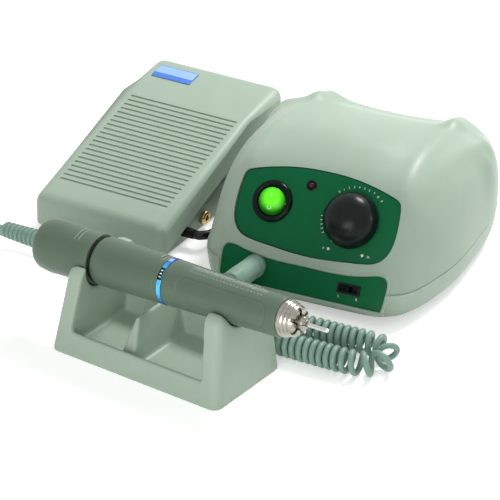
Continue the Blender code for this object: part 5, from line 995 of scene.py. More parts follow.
@dataclass
class Cords:
    """The curled cord of the handpiece and the black cable of the pedal, with what is on their ends."""

    shift: Point = (-0.0012, 0.0, 0.0)
    curl_radius: float = 0.00175
    cable_radius: float = 0.00275
    boot_length: float = 0.0299
    boot_ribs: int = 9
    boot_radii: Tuple[float, float] = (0.0056, 0.0046)
    boot_rib_depth: float = 0.0013
    boot_tip: float = 0.88
    plug_length: float = 0.0380
    back_plug_length: float = 0.0290
    lead: float = 0.0060
    cable_step: float = 0.003
    curl_steps: int = 24
    coil_steps: int = 48
    curly_route: Tuple[Tuple[float, ...], ...] = (
        (-0.1180, -0.0759, 0.0438, 0.0200, 0.0),
        (-0.1320, -0.0690, 0.0390, 0.0200, 0.0),
        (-0.1430, -0.0550, 0.0285, 0.0200, 0.0),
        (-0.1450, -0.0400, 0.0170, 0.0200, 0.0),
        (-0.1390, -0.0285, 0.0092, 0.0200, 0.0),
        (-0.1261, -0.0241, 0.0075, 0.0200, 0.0),
        (-0.1120, -0.0250, 0.0072, 0.0160, 0.0),
        (-0.1000, -0.0268, 0.0080, 0.0110, 0.0045),
        (-0.0880, -0.0300, 0.0080, 0.0110, 0.0056),
        (-0.0750, -0.0345, 0.0080, 0.0110, 0.0056),
        (-0.0550, -0.0410, 0.0080, 0.0110, 0.0056),
        (-0.0300, -0.0490, 0.0080, 0.0110, 0.0056),
        (-0.0050, -0.0550, 0.0080, 0.0110, 0.0056),
        (0.0200, -0.0610, 0.0080, 0.0110, 0.0056),
        (0.0420, -0.0655, 0.0080, 0.0100, 0.0056),
        (0.0560, -0.0688, 0.0080, 0.0080, 0.0056),
        (0.0640, -0.0703, 0.0080, 0.00425, 0.0056),
        (0.0740, -0.0714, 0.0080, 0.00425, 0.0056),
        (0.0860, -0.0722, 0.0080, 0.00418, 0.0056),
        (0.0980, -0.0730, 0.0080, 0.00425, 0.0056),
        (0.1080, -0.0732, 0.0080, 0.0052, 0.0056),
        (0.1165, -0.0719, 0.0080, 0.0078, 0.0056),
        (0.1226, -0.0680, 0.0080, 0.0100, 0.0056),
        (0.1252, -0.0615, 0.0080, 0.0104, 0.0056),
        (0.1230, -0.0551, 0.0080, 0.0100, 0.0056),
        (0.1170, -0.0512, 0.0080, 0.0080, 0.0056),
        (0.1090, -0.0503, 0.0080, 0.0052, 0.0056),
        (0.1000, -0.0503, 0.0080, 0.00425, 0.0056),
        (0.0880, -0.0500, 0.0080, 0.00418, 0.0056),
        (0.0780, -0.0496, 0.0080, 0.00450, 0.0056),
        (0.0700, -0.0497, 0.0080, 0.0070, 0.0056),
        (0.0620, -0.0508, 0.0082, 0.0090, 0.0050),
        (0.0540, -0.0535, 0.0105, 0.0120, 0.0),
    )
    after_curls: Tuple[Point, ...] = ((0.0440, -0.0570, 0.0140), (0.0360, -0.0630, 0.0185))
    cable_route: Tuple[Point, ...] = (
        (-0.0235, 0.0240, 0.0083), (-0.0218, 0.0320, 0.0078), (-0.0222, 0.0440, 0.0055),
        (-0.0240, 0.0650, 0.0035), (-0.0262, 0.1000, 0.0030),
    )
    lead_route: Tuple[Point, ...] = (
        (0.0050, 0.1880, 0.0110), (0.0125, 0.1940, 0.0155), (0.0200, 0.1880, 0.0210),
    )
    coil_centre: Tuple[float, float] = (0.0400, 0.1760)
    coil_outer: float = 0.0375
    coil_inner: float = 0.0225
    coil_layer_turns: float = 2.5
    coil_floor: float = 0.0030
    coil_rise: float = 0.0061
    pedal_exit: Point = (0.0078, -0.0215, 0.0085)
    back_plug_place: Point = (-0.0280, 0.1098, 0.0220)

    def handpiece_cord(self) -> None:
        """Lay the curled cord from the handpiece's boot to its plug in the front strip."""
        boot_end = placed((0.0, 0.0, CAP_REAR - self.boot_length - GAP), HAND)
        boot_way = -HAND[:3, 2]
        plug_frame = frame_at((0.0, 0.0, COLLAR_HEIGHT + GAP), parent=SOCKET)
        plug_end = placed((0.0, 0.0, self.plug_length + GAP), plug_frame)
        curls = curled(np.array(self.curly_route), self.curl_radius / 2, self.curl_steps) + self.shift
        way_in = np.vstack([
            curls[-1:], np.array(self.after_curls) + self.shift, plug_end + plug_frame[:3, 2] * self.lead,
        ])
        way_out = np.vstack([boot_end, boot_end + boot_way * self.lead, curls[0]])
        path = np.vstack([
            smooth_path(way_out, self.curl_radius)[:-1], curls, smooth_path(way_in, self.curl_radius)[1:],
            plug_end[None],
        ])
        boot = piece("cord_boot_ribbed", self.boot(), CORD, Body.STATION, ["cord_boot"])
        plug = piece("handpiece_plug", self.plug(plug_frame), PLUG, Body.STATION, ["cord_plug"])
        cord = piece("curled_cord", tube(path, self.curl_radius, 10), CORD, Body.STATION, ["curly_cord"])

    def boot(self) -> bpy.types.Mesh:
        """The ribbed boot: a taper with a rounded rib every few millimetres."""
        along = np.linspace(0.0, 1.0, 241)
        wide, narrow = self.boot_radii
        valley = 0.5 - 0.5 * np.tanh(3.0 * np.cos(along * math.tau * self.boot_ribs - 1.2) + 0.6)
        radius = wide + (narrow - wide) * along - self.boot_rib_depth * valley
        tip = np.clip((along - self.boot_tip) / (1.0 - self.boot_tip), 0.0, 1.0)
        radius = radius - (radius - self.curl_radius - 0.0003) * (1.0 - np.sqrt(1.0 - tip**2))
        height = CAP_REAR - GAP - along * (self.boot_length - 2 * GAP)
        start = np.array([(0.0, -0.0802), (0.0031, -0.0802), (0.0031, height[0])])
        profile = np.vstack([start, np.column_stack([radius, height]), [(0.0, height[-1])]])
        return turned(profile, HAND, 48)

    def plug(self, frame: Array) -> bpy.types.Mesh:
        """The plug: a plain barrel, fine ribs on its shoulder, a waist and a short boot."""
        ribs = [(0.0059 if step % 2 else 0.0064, 0.0292 - 0.0006 * step) for step in range(12)]
        profile = [
            (0.0, self.plug_length), (0.0029, self.plug_length), (0.0046, 0.0298), (0.0056, 0.0298), *ribs,
            (0.0065, 0.0218), (0.0065, 0.0), (0.0036, 0.0), (0.0036, -0.0070), (0.0, -0.0070),
        ]
        return turned(eased(profile, 0.0005, 4), frame, 72)

    def pedal_cable(self) -> None:
        """Lay the black cable from the pedal, in its coil behind the box, to the plug in the box's back."""
        start = placed(self.pedal_exit, PEDAL)
        start_way = PEDAL[:3, 0]
        whole = 2 * self.coil_layer_turns
        turns = np.linspace(0.0, whole, int(whole * self.coil_steps) + 1)
        inward = np.minimum(turns, whole - turns) / self.coil_layer_turns
        radius = self.coil_outer + (self.coil_inner - self.coil_outer) * inward
        climb = np.clip((turns - self.coil_layer_turns) * 2.0 + 0.5, 0.0, 1.0)
        climb = climb * climb * (3.0 - 2.0 * climb)
        angle = math.pi - math.tau * turns
        coil = np.column_stack([
            self.coil_centre[0] + radius * np.cos(angle), self.coil_centre[1] + radius * np.sin(angle),
            self.coil_floor + self.coil_rise * climb,
        ]) + self.shift
        into = coil[0] - coil[1]
        into /= np.linalg.norm(into)
        out = coil[-1] - coil[-2]
        out /= np.linalg.norm(out)
        end_frame = frame_at(self.back_plug_place, (-90.0, 0.0, 0.0), BOX)
        end = placed((0.0, 0.0, self.back_plug_length + GAP), end_frame)
        end_way = end_frame[:3, 2]
        first = np.vstack([
            start + start_way * self.lead / 2, np.array(self.cable_route) + self.shift,
            coil[0] + into * self.lead / 2,
        ])
        last = np.vstack([
            coil[-1] + out * self.lead / 2, np.array(self.lead_route) + self.shift,
            end + end_way * self.lead / 2,
        ])
        path = np.vstack([
            start, smooth_path(first, self.cable_step), coil, smooth_path(last, self.cable_step), end,
        ])
        boot = piece("pedal_cable_boot", self.pedal_boot(), RUBBER, Body.STATION, ["pedal_boot"])
        profile = [
            (0.0, self.back_plug_length), (self.cable_radius, self.back_plug_length), (0.0038, 0.0200),
            (0.0060, 0.0200), (0.0060, 0.0), (0.0030, 0.0), (0.0030, -0.0080), (0.0, -0.0080),
        ]
        plug = piece(
            "pedal_cable_plug", turned(eased(profile, 0.0006), end_frame, 48), RUBBER, Body.STATION,
            ["pedal_plug"],
        )
        cord = piece(
            "pedal_cable_run", tube(path, self.cable_radius, 16), CABLE, Body.STATION,
            ["pedal_cable", "pedal_cable_coil", "pedal_cable_lead"],
        )

    def pedal_boot(self) -> bpy.types.Mesh:
        """The short black boot where the cable leaves the pedal."""
        frame = frame_at((0.0, *self.pedal_exit[1:]), (0.0, 90.0, 0.0), PEDAL)
        profile = [
            (0.0, 0.0075), (0.0030, 0.0075), (0.0033, GAP), (0.0030, GAP), (0.0030, -0.0050),
            (0.0, -0.0050),
        ]
        return turned(eased(profile, 0.0003), frame, 36)

    def build(self) -> None:
        """Lay both cords."""
        self.handpiece_cord()
        self.pedal_cable()


# Control box


@dataclass
class CaseSkin:
    """The moulded cover and base of the control box, from rows of shares shaped further than the solids'."""

    half_width: float = 0.0745
    front: float = 0.0460
    depth: float = 0.1535
    seam: float = 0.0150
    crown: float = 0.0635
    wall: float = 0.0025
    base_wall: float = 0.0024
    flare: float = 0.0055
    overrun: float = 0.0040
    per_span: int = 12
    form_fade: float = 0.022
    narrowing: float = 0.022
    foot_ease: float = 0.0018
    foot_insets: Tuple[float, float] = (0.97, 0.86)
    flare_side: float = 0.78
    flare_fade: float = 0.18
    flare_back: float = 0.1
    forms: Tuple[Tuple[Point, Point, float, float, float], ...] = (
        ((0.0410, 0.0930, 0.0), (0.0440, 0.0780, 0.0), 0.0070, 0.0030, 0.0),
        ((0.0000, 0.0900, 0.0), (0.0270, 0.0900, 0.0), 0.0100, -0.0022, 0.0),
        ((0.0475, -0.0060, 0.0), (0.0430, 0.0800, 0.0), 0.0055, 0.0016, 0.0),
        ((0.0600, -0.0280, 0.0), (0.0660, 0.0700, 0.0), 0.0040, -0.0016, 0.0),
        ((0.0660, 0.0760, 0.0), (0.0700, 0.0700, 0.0), 0.0090, 0.0035, 0.0015),
    )
    rows: Tuple[Tuple[Point, ...], ...] = (
        ((0.000, 0.040, 0.000), (0.540, 0.040, 0.000), (0.680, 0.034, 0.000),
         (0.765, 0.044, 0.000), (0.828, 0.070, 0.000), (0.875, 0.120, 0.000)),
        ((0.000, 0.078, 0.170), (0.540, 0.078, 0.170), (0.690, 0.080, 0.170),
         (0.790, 0.092, 0.140), (0.868, 0.122, 0.080), (0.920, 0.172, 0.000)),
        ((0.000, 0.170, 0.500), (0.540, 0.170, 0.500), (0.705, 0.170, 0.500),
         (0.830, 0.195, 0.360), (0.915, 0.225, 0.180), (0.955, 0.255, 0.000)),
        ((0.000, 0.262, 0.830), (0.540, 0.252, 0.790), (0.705, 0.240, 0.760),
         (0.855, 0.280, 0.570), (0.960, 0.320, 0.290), (0.990, 0.345, 0.000)),
        ((0.000, 0.365, 0.935), (0.540, 0.360, 0.885), (0.710, 0.345, 0.835),
         (0.885, 0.385, 0.640), (0.980, 0.415, 0.320), (1.005, 0.430, 0.000)),
        ((0.000, 0.455, 1.000), (0.540, 0.460, 0.940), (0.735, 0.475, 0.850),
         (0.910, 0.495, 0.680), (0.988, 0.510, 0.340), (0.998, 0.520, 0.000)),
        ((0.000, 0.660, 0.890), (0.520, 0.660, 0.880), (0.720, 0.660, 0.815),
         (0.920, 0.660, 0.680), (0.988, 0.660, 0.360), (0.988, 0.660, 0.000)),
        ((0.000, 0.815, 0.750), (0.480, 0.825, 0.790), (0.660, 0.825, 0.785),
         (0.900, 0.815, 0.680), (0.975, 0.805, 0.380), (0.962, 0.805, 0.000)),
        ((0.000, 0.950, 0.660), (0.450, 0.960, 0.690), (0.620, 0.960, 0.740),
         (0.830, 0.945, 0.580), (0.905, 0.910, 0.300), (0.905, 0.900, 0.000)),
        ((0.000, 0.995, 0.480), (0.450, 1.000, 0.500), (0.600, 0.995, 0.490),
         (0.715, 0.980, 0.400), (0.810, 0.960, 0.230), (0.845, 0.955, 0.000)),
        ((0.000, 1.000, 0.000), (0.450, 1.000, 0.000), (0.580, 1.000, 0.000),
         (0.675, 0.995, 0.000), (0.745, 0.985, 0.000), (0.800, 0.975, 0.000)),
    )

    def controls(self) -> Array:
        """The cover's control points on both halves, in the box's frame."""
        half = np.array(self.rows)
        whole = np.concatenate([half[:, :0:-1] * (-1.0, 1.0, 1.0), half], axis=1)
        points = whole * (self.half_width, self.depth, self.crown) + (0.0, -self.front, self.seam)
        points[[0, -1], :, 2] -= self.overrun
        points[:, [0, -1], 2] -= self.overrun
        return points

    def formed(self, points: Array) -> Array:
        """Add the ears, hips and creases: each moves the skin by rise times exp(-(distance / width)^2).

        Args:
            points: the skin's places, in the box's frame.

        Returns:
            The moved places.
        """
        result = points.copy()
        x, y = np.abs(points[..., 0]), points[..., 1]
        above = np.clip((points[..., 2] - self.seam) / self.form_fade, 0.0, 1.0)
        for start, end, width, rise, spread in self.forms:
            way = np.array(end) - start
            share = np.clip(((x - start[0]) * way[0] + (y - start[1]) * way[1]) / way.dot(way), 0.0, 1.0)
            away = np.hypot(x - start[0] - share * way[0], y - start[1] - share * way[1])
            strength = above * np.exp(-((away / width) ** 2))
            result[..., 2] += rise * strength
            result[..., 0] += spread * strength * np.sign(points[..., 0])
        return result

    def cover(self, cutters: Sequence[bpy.types.Mesh]) -> bpy.types.Mesh:
        """The cover: the bicubic B-spline of its controls, cut at the seam, given a wall and openings.

        Args:
            cutters: the shapes of its openings.

        Returns:
            The mesh.
        """
        controls = self.controls()
        down, across = (spline_weights(count, self.per_span) for count in controls.shape[:2])
        points = self.formed(np.einsum("ur,rcx,vc->uvx", down, controls, across))
        mesh = mesh_of(placed(points, BOX), grid_faces(*points.shape[:2]))
        level = (0.0, 0.0, float(BOX[2, 3]) + self.seam + GAP / 2)
        with edited(mesh) as work:
            whole = [*work.verts, *work.edges, *work.faces]
            bmesh.ops.bisect_plane(
                work, geom=whole, plane_co=level, plane_no=(0.0, 0.0, 1.0), clear_inner=True,
            )
            bmesh.ops.recalc_face_normals(work, faces=work.faces)
            if max(work.faces, key=lambda face: face.calc_center_median().z).normal.z < 0:
                bmesh.ops.reverse_faces(work, faces=work.faces)
        return combined(modified(mesh, {"type": "SOLIDIFY", "thickness": self.wall, "offset": -1.0}), cutters)

    def loop(self, z: float, inset: float, wall: float) -> Array:
        """The base's control loop at one height, in the box's frame.

        Args:
            z: the height.
            inset: the share of the full plan.
            wall: how far inside the outer form it lies.

        Returns:
            The loop's control points.
        """
        rows = np.array(self.rows)
        half = np.vstack([rows[0], rows[1:-1, -1], rows[-1, ::-1]])[:, :2]
        x = half[:, 0] * self.half_width
        y = half[:, 1] * self.depth - self.front
        middle = self.depth / 2 - self.front
        down = 1.0 - min(1.0, z / self.seam)
        narrow = 1.0 - self.narrowing * down
        fade = np.clip((self.flare_side - half[:, 0]) / self.flare_fade, 0.0, 1.0)
        forwards = np.where(half[:, 1] < self.flare_back, self.flare * down * fade, 0.0)
        x = x * narrow * inset * (1.0 - wall / self.half_width)
        y = middle + (y - middle) * narrow**0.5 * inset * (1.0 - 2 * wall / self.depth) - forwards
        right = np.column_stack([x, y, np.full(len(x), z)])
        left = right[-2:0:-1] * (-1.0, 1.0, 1.0)
        return np.vstack([right, left])

    def bowl(self, wall: float, low: float, high: float) -> bpy.types.Mesh:
        """The base's form or its hollow: closed B-spline loops, blended downwards by a B-spline.

        Args:
            wall: how far inside the outer form it lies.
            low: the height of its floor.
            high: the height of its top.

        Returns:
            The mesh.
        """
        levels = [(high, 1.0), (low + self.foot_ease, 1.0), *((low, inset) for inset in self.foot_insets)]
        loops = np.array([closed_spline(self.loop(z, inset, wall), 5) for z, inset in levels])
        rings = np.einsum("ur,rnx->unx", spline_weights(len(levels), 7), loops)
        return stacked(placed(rings, BOX))

    def base(self, cutters: Sequence[bpy.types.Mesh]) -> bpy.types.Mesh:
        """The base: the outer form less its hollow, levelled at the seam and cut for the front strip.

        Args:
            cutters: the shapes of its openings.

        Returns:
            The mesh.
        """
        outer = self.bowl(0.0, 0.0, self.seam - GAP / 2)
        inner = self.bowl(self.base_wall, self.base_wall, self.seam + self.overrun)
        return combined(outer, [inner, *cutters])


@dataclass
class ControlBox:
    """The control box with its panels, switches, lamp, knob and sockets."""

    skin: CaseSkin = field(default_factory=CaseSkin)
    panel_half: float = 0.0493
    panel_height: float = 0.0490
    strip_half: float = 0.0512
    strip_height: float = 0.0207
    panel_shares: Profile = (
        (0.00, 1.000), (0.25, 0.992), (0.48, 0.963), (0.70, 0.915), (0.87, 0.865), (0.945, 0.830),
        (0.975, 0.775), (0.990, 0.680), (1.000, 0.550), (1.000, 0.420), (0.985, 0.300), (0.950, 0.205),
        (0.890, 0.130), (0.800, 0.080), (0.650, 0.050), (0.45, 0.030), (0.22, 0.008), (0.00, 0.000),
    )
    strip_shares: Profile = (
        (0.00, 0.810), (0.30, 0.810), (0.52, 0.840), (0.70, 0.910), (0.84, 0.985), (0.93, 0.975),
        (0.980, 0.880), (1.000, 0.720), (0.990, 0.300), (0.975, 0.100), (0.940, 0.016), (0.50, 0.004),
        (0.00, 0.000),
    )
    rocker_place: Tuple[float, float] = (-0.0281, 0.0262)
    lamp_place: Tuple[float, float] = (-0.0072, 0.0397)
    knob_place: Tuple[float, float] = (0.0215, 0.0250)
    slide_place: Tuple[float, float] = (0.0288, 0.0094)
    knob_radius: float = 0.0161
    knob_height: float = 0.0164
    slide_rest: float = -0.0023
    bead_radius: float = 0.0013
    knob_skirt: float = 0.0040
    pointer_angle: float = -150.0
    pointer_reach: float = 0.01545
    rocker_tilt: float = 6.0
    tick_angles: Tuple[float, ...] = (-122.0, -114.5, -107.0, -99.5, -92.0)
    digit_start: float = -38.0
    digit_step: float = 9.2
    tick_reach: float = 1.14
    digit_reach: float = 1.16
    digit_spread: float = 0.011
    end_reach: float = 1.29
    letters: Tuple[Tuple[str, float], ...] = (("L", -0.0055), ("R", 0.0055))
    cut_depth: float = 0.004
    lip_rise: float = 0.0002
    end_marks: Tuple[Tuple[float, str, float], ...] = ((-151.0, "0", -0.0030), (149.0, "35", 0.0036))
    hole_play: float = 0.0004
    film: float = 0.0015
    film_edge: float = 0.0003

    def outline(self, shares: Profile, half: float, height: float, grow: float = 0.0) -> Array:
        """The whole smooth outline of a panel from the shares of its right half.

        Args:
            shares: the right half's points as shares of the half width and the height.
            half: the half width.
            height: the height.
            grow: how far the outline is grown.

        Returns:
            The outline's points.
        """
        right = np.array(shares) * (half + grow, height + 2 * grow) - (0.0, grow)
        left = right[-2:0:-1] * (-1.0, 1.0)
        return smooth_loop(np.vstack([right, left]), 6)

    def front_outline(self, grow: float = 0.0) -> Array:
        """The front panel's outline, grown by an amount."""
        return self.outline(self.panel_shares, self.panel_half, self.panel_height, grow)

    def strip_outline(self, grow: float = 0.0) -> Array:
        """The front strip's outline, grown by an amount."""
        return self.outline(self.strip_shares, self.strip_half, self.strip_height, grow)

    def shell(self) -> None:
        """Make the cover and the base with their openings."""
        panel = plate(self.front_outline(self.hole_play), -0.012, 0.012, PANEL)
        strip = plate(self.strip_outline(self.hole_play), -0.004, 0.008, STRIP)
        inlet = plate(rectangle(0.0266, 0.0206, 0.001) + INLET_PLACE, -0.006, 0.006, BACK)
        socket = rod(0.0068, -0.006, 0.006, REAR_SOCKET)
        cover = self.skin.cover([panel, strip, inlet, socket])
        piece("case_cover_shell", cover, SHELL, Body.STATION, ["case_cover"], 45.0)
        piece("case_base_shell", self.skin.base([strip]), SHELL, Body.STATION, ["case_base"], 45.0)

    def bead(self) -> None:
        """Run the raised lip round the front strip: a round bead, half sunk in the shell."""
        loop = self.strip_outline(0.0010)
        angles = np.linspace(0.0, math.tau, 16, endpoint=False)
        out = loop[:, None] + normals(loop)[:, None] * (self.bead_radius * np.cos(angles))[None, :, None]
        up = np.broadcast_to(self.bead_radius * np.sin(angles), out.shape[:2]) + self.lip_rise
        points = placed(np.concatenate([out, up[..., None]], axis=2), STRIP)
        piece("strip_lip", mesh_of(points, grid_faces(len(loop), 16, True, True)), SHELL, Body.STATION)

    def panels(self) -> None:
        """Make the two green panels with their holes."""
        holes = [
            self.hole(self.rocker_place, 0.0101), self.hole(self.lamp_place, 0.0026),
            self.hole(self.knob_place, 0.0048),
        ]
        front = combined(plate(self.front_outline(), -self.film, 0.0, PANEL, self.film_edge), holes)
        piece("front_panel_film", front, PANEL_FILM, Body.STATION, ["front_panel"], 30.0)
        slot = plate(rectangle(0.0128, 0.0048, 0.0004) + self.slide_place, -0.004, 0.004, STRIP)
        socket = rod(0.0071, -0.008, 0.008, SOCKET)
        strip = combined(plate(self.strip_outline(), -self.film, 0.0, STRIP, self.film_edge), [slot, socket])
        piece("strip_panel_film", strip, PANEL_FILM, Body.STATION, ["strip_panel"], 30.0)

    def hole(self, place: Tuple[float, float], radius: float) -> bpy.types.Mesh:
        """A round cutter through the front panel at a place."""
        return rod(radius, -self.cut_depth, self.cut_depth, frame_at((*place, 0.0), parent=PANEL))

    def marks(self) -> None:
        """Print the dial's ticks and plain numbers, its end dots, and the letters by the direction switch."""
        meshes = []
        centre = np.array(self.knob_place)

        def around(degrees: float, reach: float) -> Array:
            """A place on the panel at an angle clockwise from the top of the knob."""
            angle = math.radians(degrees)
            return centre + reach * self.knob_radius * np.array([math.sin(angle), math.cos(angle)])

        for degrees in self.tick_angles:
            local = frame_at((*around(degrees, self.tick_reach), PRINT_LIFT), (0.0, 0.0, -degrees), PANEL)
            meshes.append(plate(rectangle(0.00035, 0.0013, 0.00005, 1), -PRINT_DEPTH, PRINT_DEPTH, local))
        for index in range(10):
            degrees = self.digit_start + self.digit_step * index
            place = tuple(around(degrees, self.digit_reach + self.digit_spread * index))
            meshes.append(lettering(str(index), PRINT_SIZE, place, PANEL, -degrees))
        for degrees, text, beside in self.end_marks:
            place = around(degrees, self.end_reach)
            meshes.append(rod(0.0008, 0.0, 0.00006, frame_at((*place, 0.0), parent=PANEL), 24))
            meshes.append(lettering(text, PRINT_SIZE, (place[0] + beside, place[1] - 0.0002), PANEL))
        piece("dial_print", joined(meshes), WHITE_PRINT, Body.STATION)
        x, y = self.slide_place
        letters = [
            lettering(text, LETTER_SIZE, (x + beside, y - 0.0049), STRIP)
            for text, beside in self.letters
        ]
        piece("switch_print", joined(letters), WHITE_PRINT, Body.STATION)

    def rocker(self) -> None:
        """Make the round rocker switch: its bezel, the lit lens and the two marks on it."""
        frame = frame_at((*self.rocker_place, 0.0), parent=PANEL)
        profile = [
            (0.0, -0.0063), (0.0084, -0.0063), (0.0084, 0.0013), (0.0096, 0.0024), (0.0111, 0.0022),
            (0.0121, 0.0010), (0.0121, GAP), (0.0098, GAP), (0.0098, -0.0150), (0.0, -0.0150),
        ]
        piece("rocker_ring", turned(eased(profile, 0.0006, 5), frame), BLACK, Body.STATION, ["rocker_bezel"])
        tilted = frame_at((*self.rocker_place, 0.0002), (self.rocker_tilt, 0.0, 0.0), PANEL)
        share = np.linspace(0.0, 1.0, 14)
        dome = np.column_stack([0.0077 * share, 0.0022 + 0.0016 * (1 - share**2)])
        lens = np.vstack([dome, [(0.0080, 0.0016), (0.0080, 0.0), (0.0072, -0.0022), (0.0, -0.0022)]])
        piece("rocker_lens", turned(lens, tilted, 72), SWITCH_GREEN, Body.ROCKER, ["rocker_button"], 50.0)
        ring = eased(
            [(0.0009, 0.0036), (0.0013, 0.0036), (0.0013, 0.0020), (0.0009, 0.0020)], 0.0001, 2, True,
        )
        circle = turned(ring, frame_at((0.0, -0.0034, 0.0), parent=tilted), 32, True)
        bar = plate(rectangle(0.0005, 0.0022, 0.0002, 2) + (0.0, 0.0036), 0.0020, 0.0036, tilted)
        piece("rocker_marks", joined([circle, bar]), WHITE_PRINT, Body.ROCKER)

    def lamp(self) -> None:
        """Make the pilot lamp: a thin black rim and a domed red lens."""
        frame = frame_at((*self.lamp_place, 0.0), parent=PANEL)
        rim = eased([
            (0.0021, 0.0008), (0.0030, 0.0006), (0.0030, GAP), (0.0024, GAP), (0.0024, -0.0018),
            (0.0021, -0.0018),
        ], 0.0002, 3, True)
        piece("pilot_rim", turned(rim, frame, 48, True), BLACK, Body.STATION, ["lamp_rim"])
        share = np.linspace(0.0, math.pi / 2, 10)
        dome = np.column_stack([0.00195 * np.sin(share), 0.0001 + 0.0017 * np.cos(share)])
        lens = np.vstack([dome, [(0.00195, -0.0080), (0.0, -0.0080)]])
        piece("pilot_lens", turned(lens, frame, 48), LAMP_RED, Body.STATION, ["lamp_lens"], 50.0)

    def knob(self) -> None:
        """Make the domed speed knob with its skirt and pointer."""
        frame = frame_at((*self.knob_place, 0.0), parent=PANEL)
        share = np.linspace(0.0, math.pi / 2, 40)
        body = self.knob_radius - 0.0004
        rise = self.knob_height - self.knob_skirt
        dome = np.column_stack([body * np.sin(share) ** 0.92, self.knob_skirt + rise * np.cos(share) ** 0.94])
        skirt = eased([
            (body, self.knob_skirt), (self.knob_radius, 0.0034), (self.knob_radius, 0.0018),
            (0.0152, 0.0008), (0.0032, 0.0008),
        ], 0.0005, 4)
        inside = np.array([(0.0032, 0.0088), (0.0, 0.0088)])
        profile = np.vstack([dome, skirt[1:], inside])
        piece("speed_dial", turned(profile, frame, 128), KNOB_BLACK, Body.KNOB, ["speed_knob"], 50.0)
        angle = math.radians(self.pointer_angle)
        reach = self.pointer_reach
        spot = (math.sin(angle) * reach, math.cos(angle) * reach, 0.0)
        local = frame_at(spot, (0.0, 0.0, -self.pointer_angle), frame)
        pointer = plate(rectangle(0.0007, 0.0011, 0.0002, 2), 0.0030, 0.0042, local)
        piece("knob_pointer", pointer, WHITE_PRINT, Body.KNOB)

    def direction(self) -> None:
        """Make the direction switch: its frame with a slot, and the ribbed slider."""
        place = np.array(self.slide_place)
        flange = plate(rectangle(0.0138, 0.0058, 0.0005) + place, GAP, 0.0011, STRIP, 0.0002)
        body = plate(rectangle(0.0125, 0.0045, 0.0003) + place, -0.0080, 0.0006, STRIP)
        slot = plate(rectangle(0.0114, 0.0034, 0.0003) + place, -0.0030, 0.0040, STRIP)
        mesh = combined(combined(flange, [body], "UNION"), [slot])
        piece("switch_frame", mesh, BLACK_SATIN, Body.STATION, ["direction_switch"], 30.0)
        middle = place + (self.slide_rest, 0.0)
        block = plate(rectangle(0.0058, 0.0026, 0.0004) + middle, -0.0024, 0.0024, STRIP, 0.0003)
        cuts = [
            plate(rectangle(0.0005, 0.0040, 0.0001, 1) + middle + (x, 0.0), 0.0019, 0.0040, STRIP)
            for x in (-0.0018, -0.0006, 0.0006, 0.0018)
        ]
        piece("slider_ribbed", combined(block, cuts), BLACK, Body.SLIDER, ["direction_slider"], 30.0)

    def sockets(self) -> None:
        """Make the handpiece socket's collar, the mains inlet with its pins and the pedal's socket."""
        ring = [
            (0.0040, COLLAR_HEIGHT), (0.0060, COLLAR_HEIGHT), (0.0068, 0.0024), (0.0068, -0.0120),
            (0.0, -0.0120), (0.0, -0.0058), (0.0040, -0.0058),
        ]
        collar = turned(eased(ring, 0.0003, 3, True), SOCKET, 64, True)
        piece("socket_collar", collar, PLUG, Body.STATION, ["handpiece_socket"])
        middle = np.array(INLET_PLACE)
        flange = plate(rectangle(0.0300, 0.0240, 0.0020) + middle, 0.0, 0.0025, BACK, 0.0006)
        body = plate(rectangle(0.0260, 0.0200, 0.0010) + middle, -0.0175, 0.0006, BACK)
        pocket = plate(rectangle(0.0220, 0.0150, 0.0030) + middle, -0.0125, 0.0060, BACK)
        mesh = combined(combined(flange, [body], "UNION"), [pocket])
        piece("mains_socket", mesh, BLACK_SATIN, Body.STATION, ["mains_inlet"], 30.0)
        pins = [
            plate(rectangle(0.0020, 0.0040, 0.0004, 2) + middle + (x, y), -0.0126, -0.0026, BACK, 0.0004)
            for x, y in ((-0.0070, -0.0020), (0.0070, -0.0020), (0.0, 0.0020))
        ]
        piece("mains_pins", joined(pins), STEEL, Body.STATION)
        ring = [
            (0.0034, 0.0020), (0.0080, 0.0020), (0.0080, 0.0), (0.0065, 0.0), (0.0065, -0.0120),
            (0.0, -0.0120), (0.0, -0.0080), (0.0034, -0.0080),
        ]
        nut = turned(eased(ring, 0.0003, 3, True), REAR_SOCKET, 48, True)
        piece("pedal_socket_nut", nut, CHROME, Body.STATION, ["pedal_socket"])

    def build(self) -> None:
        """Make the whole control box."""
        self.shell()
        self.bead()
        self.panels()
        self.marks()
        self.rocker()
        self.lamp()
        self.knob()
        self.direction()
        self.sockets()


# Cradle and handpiece


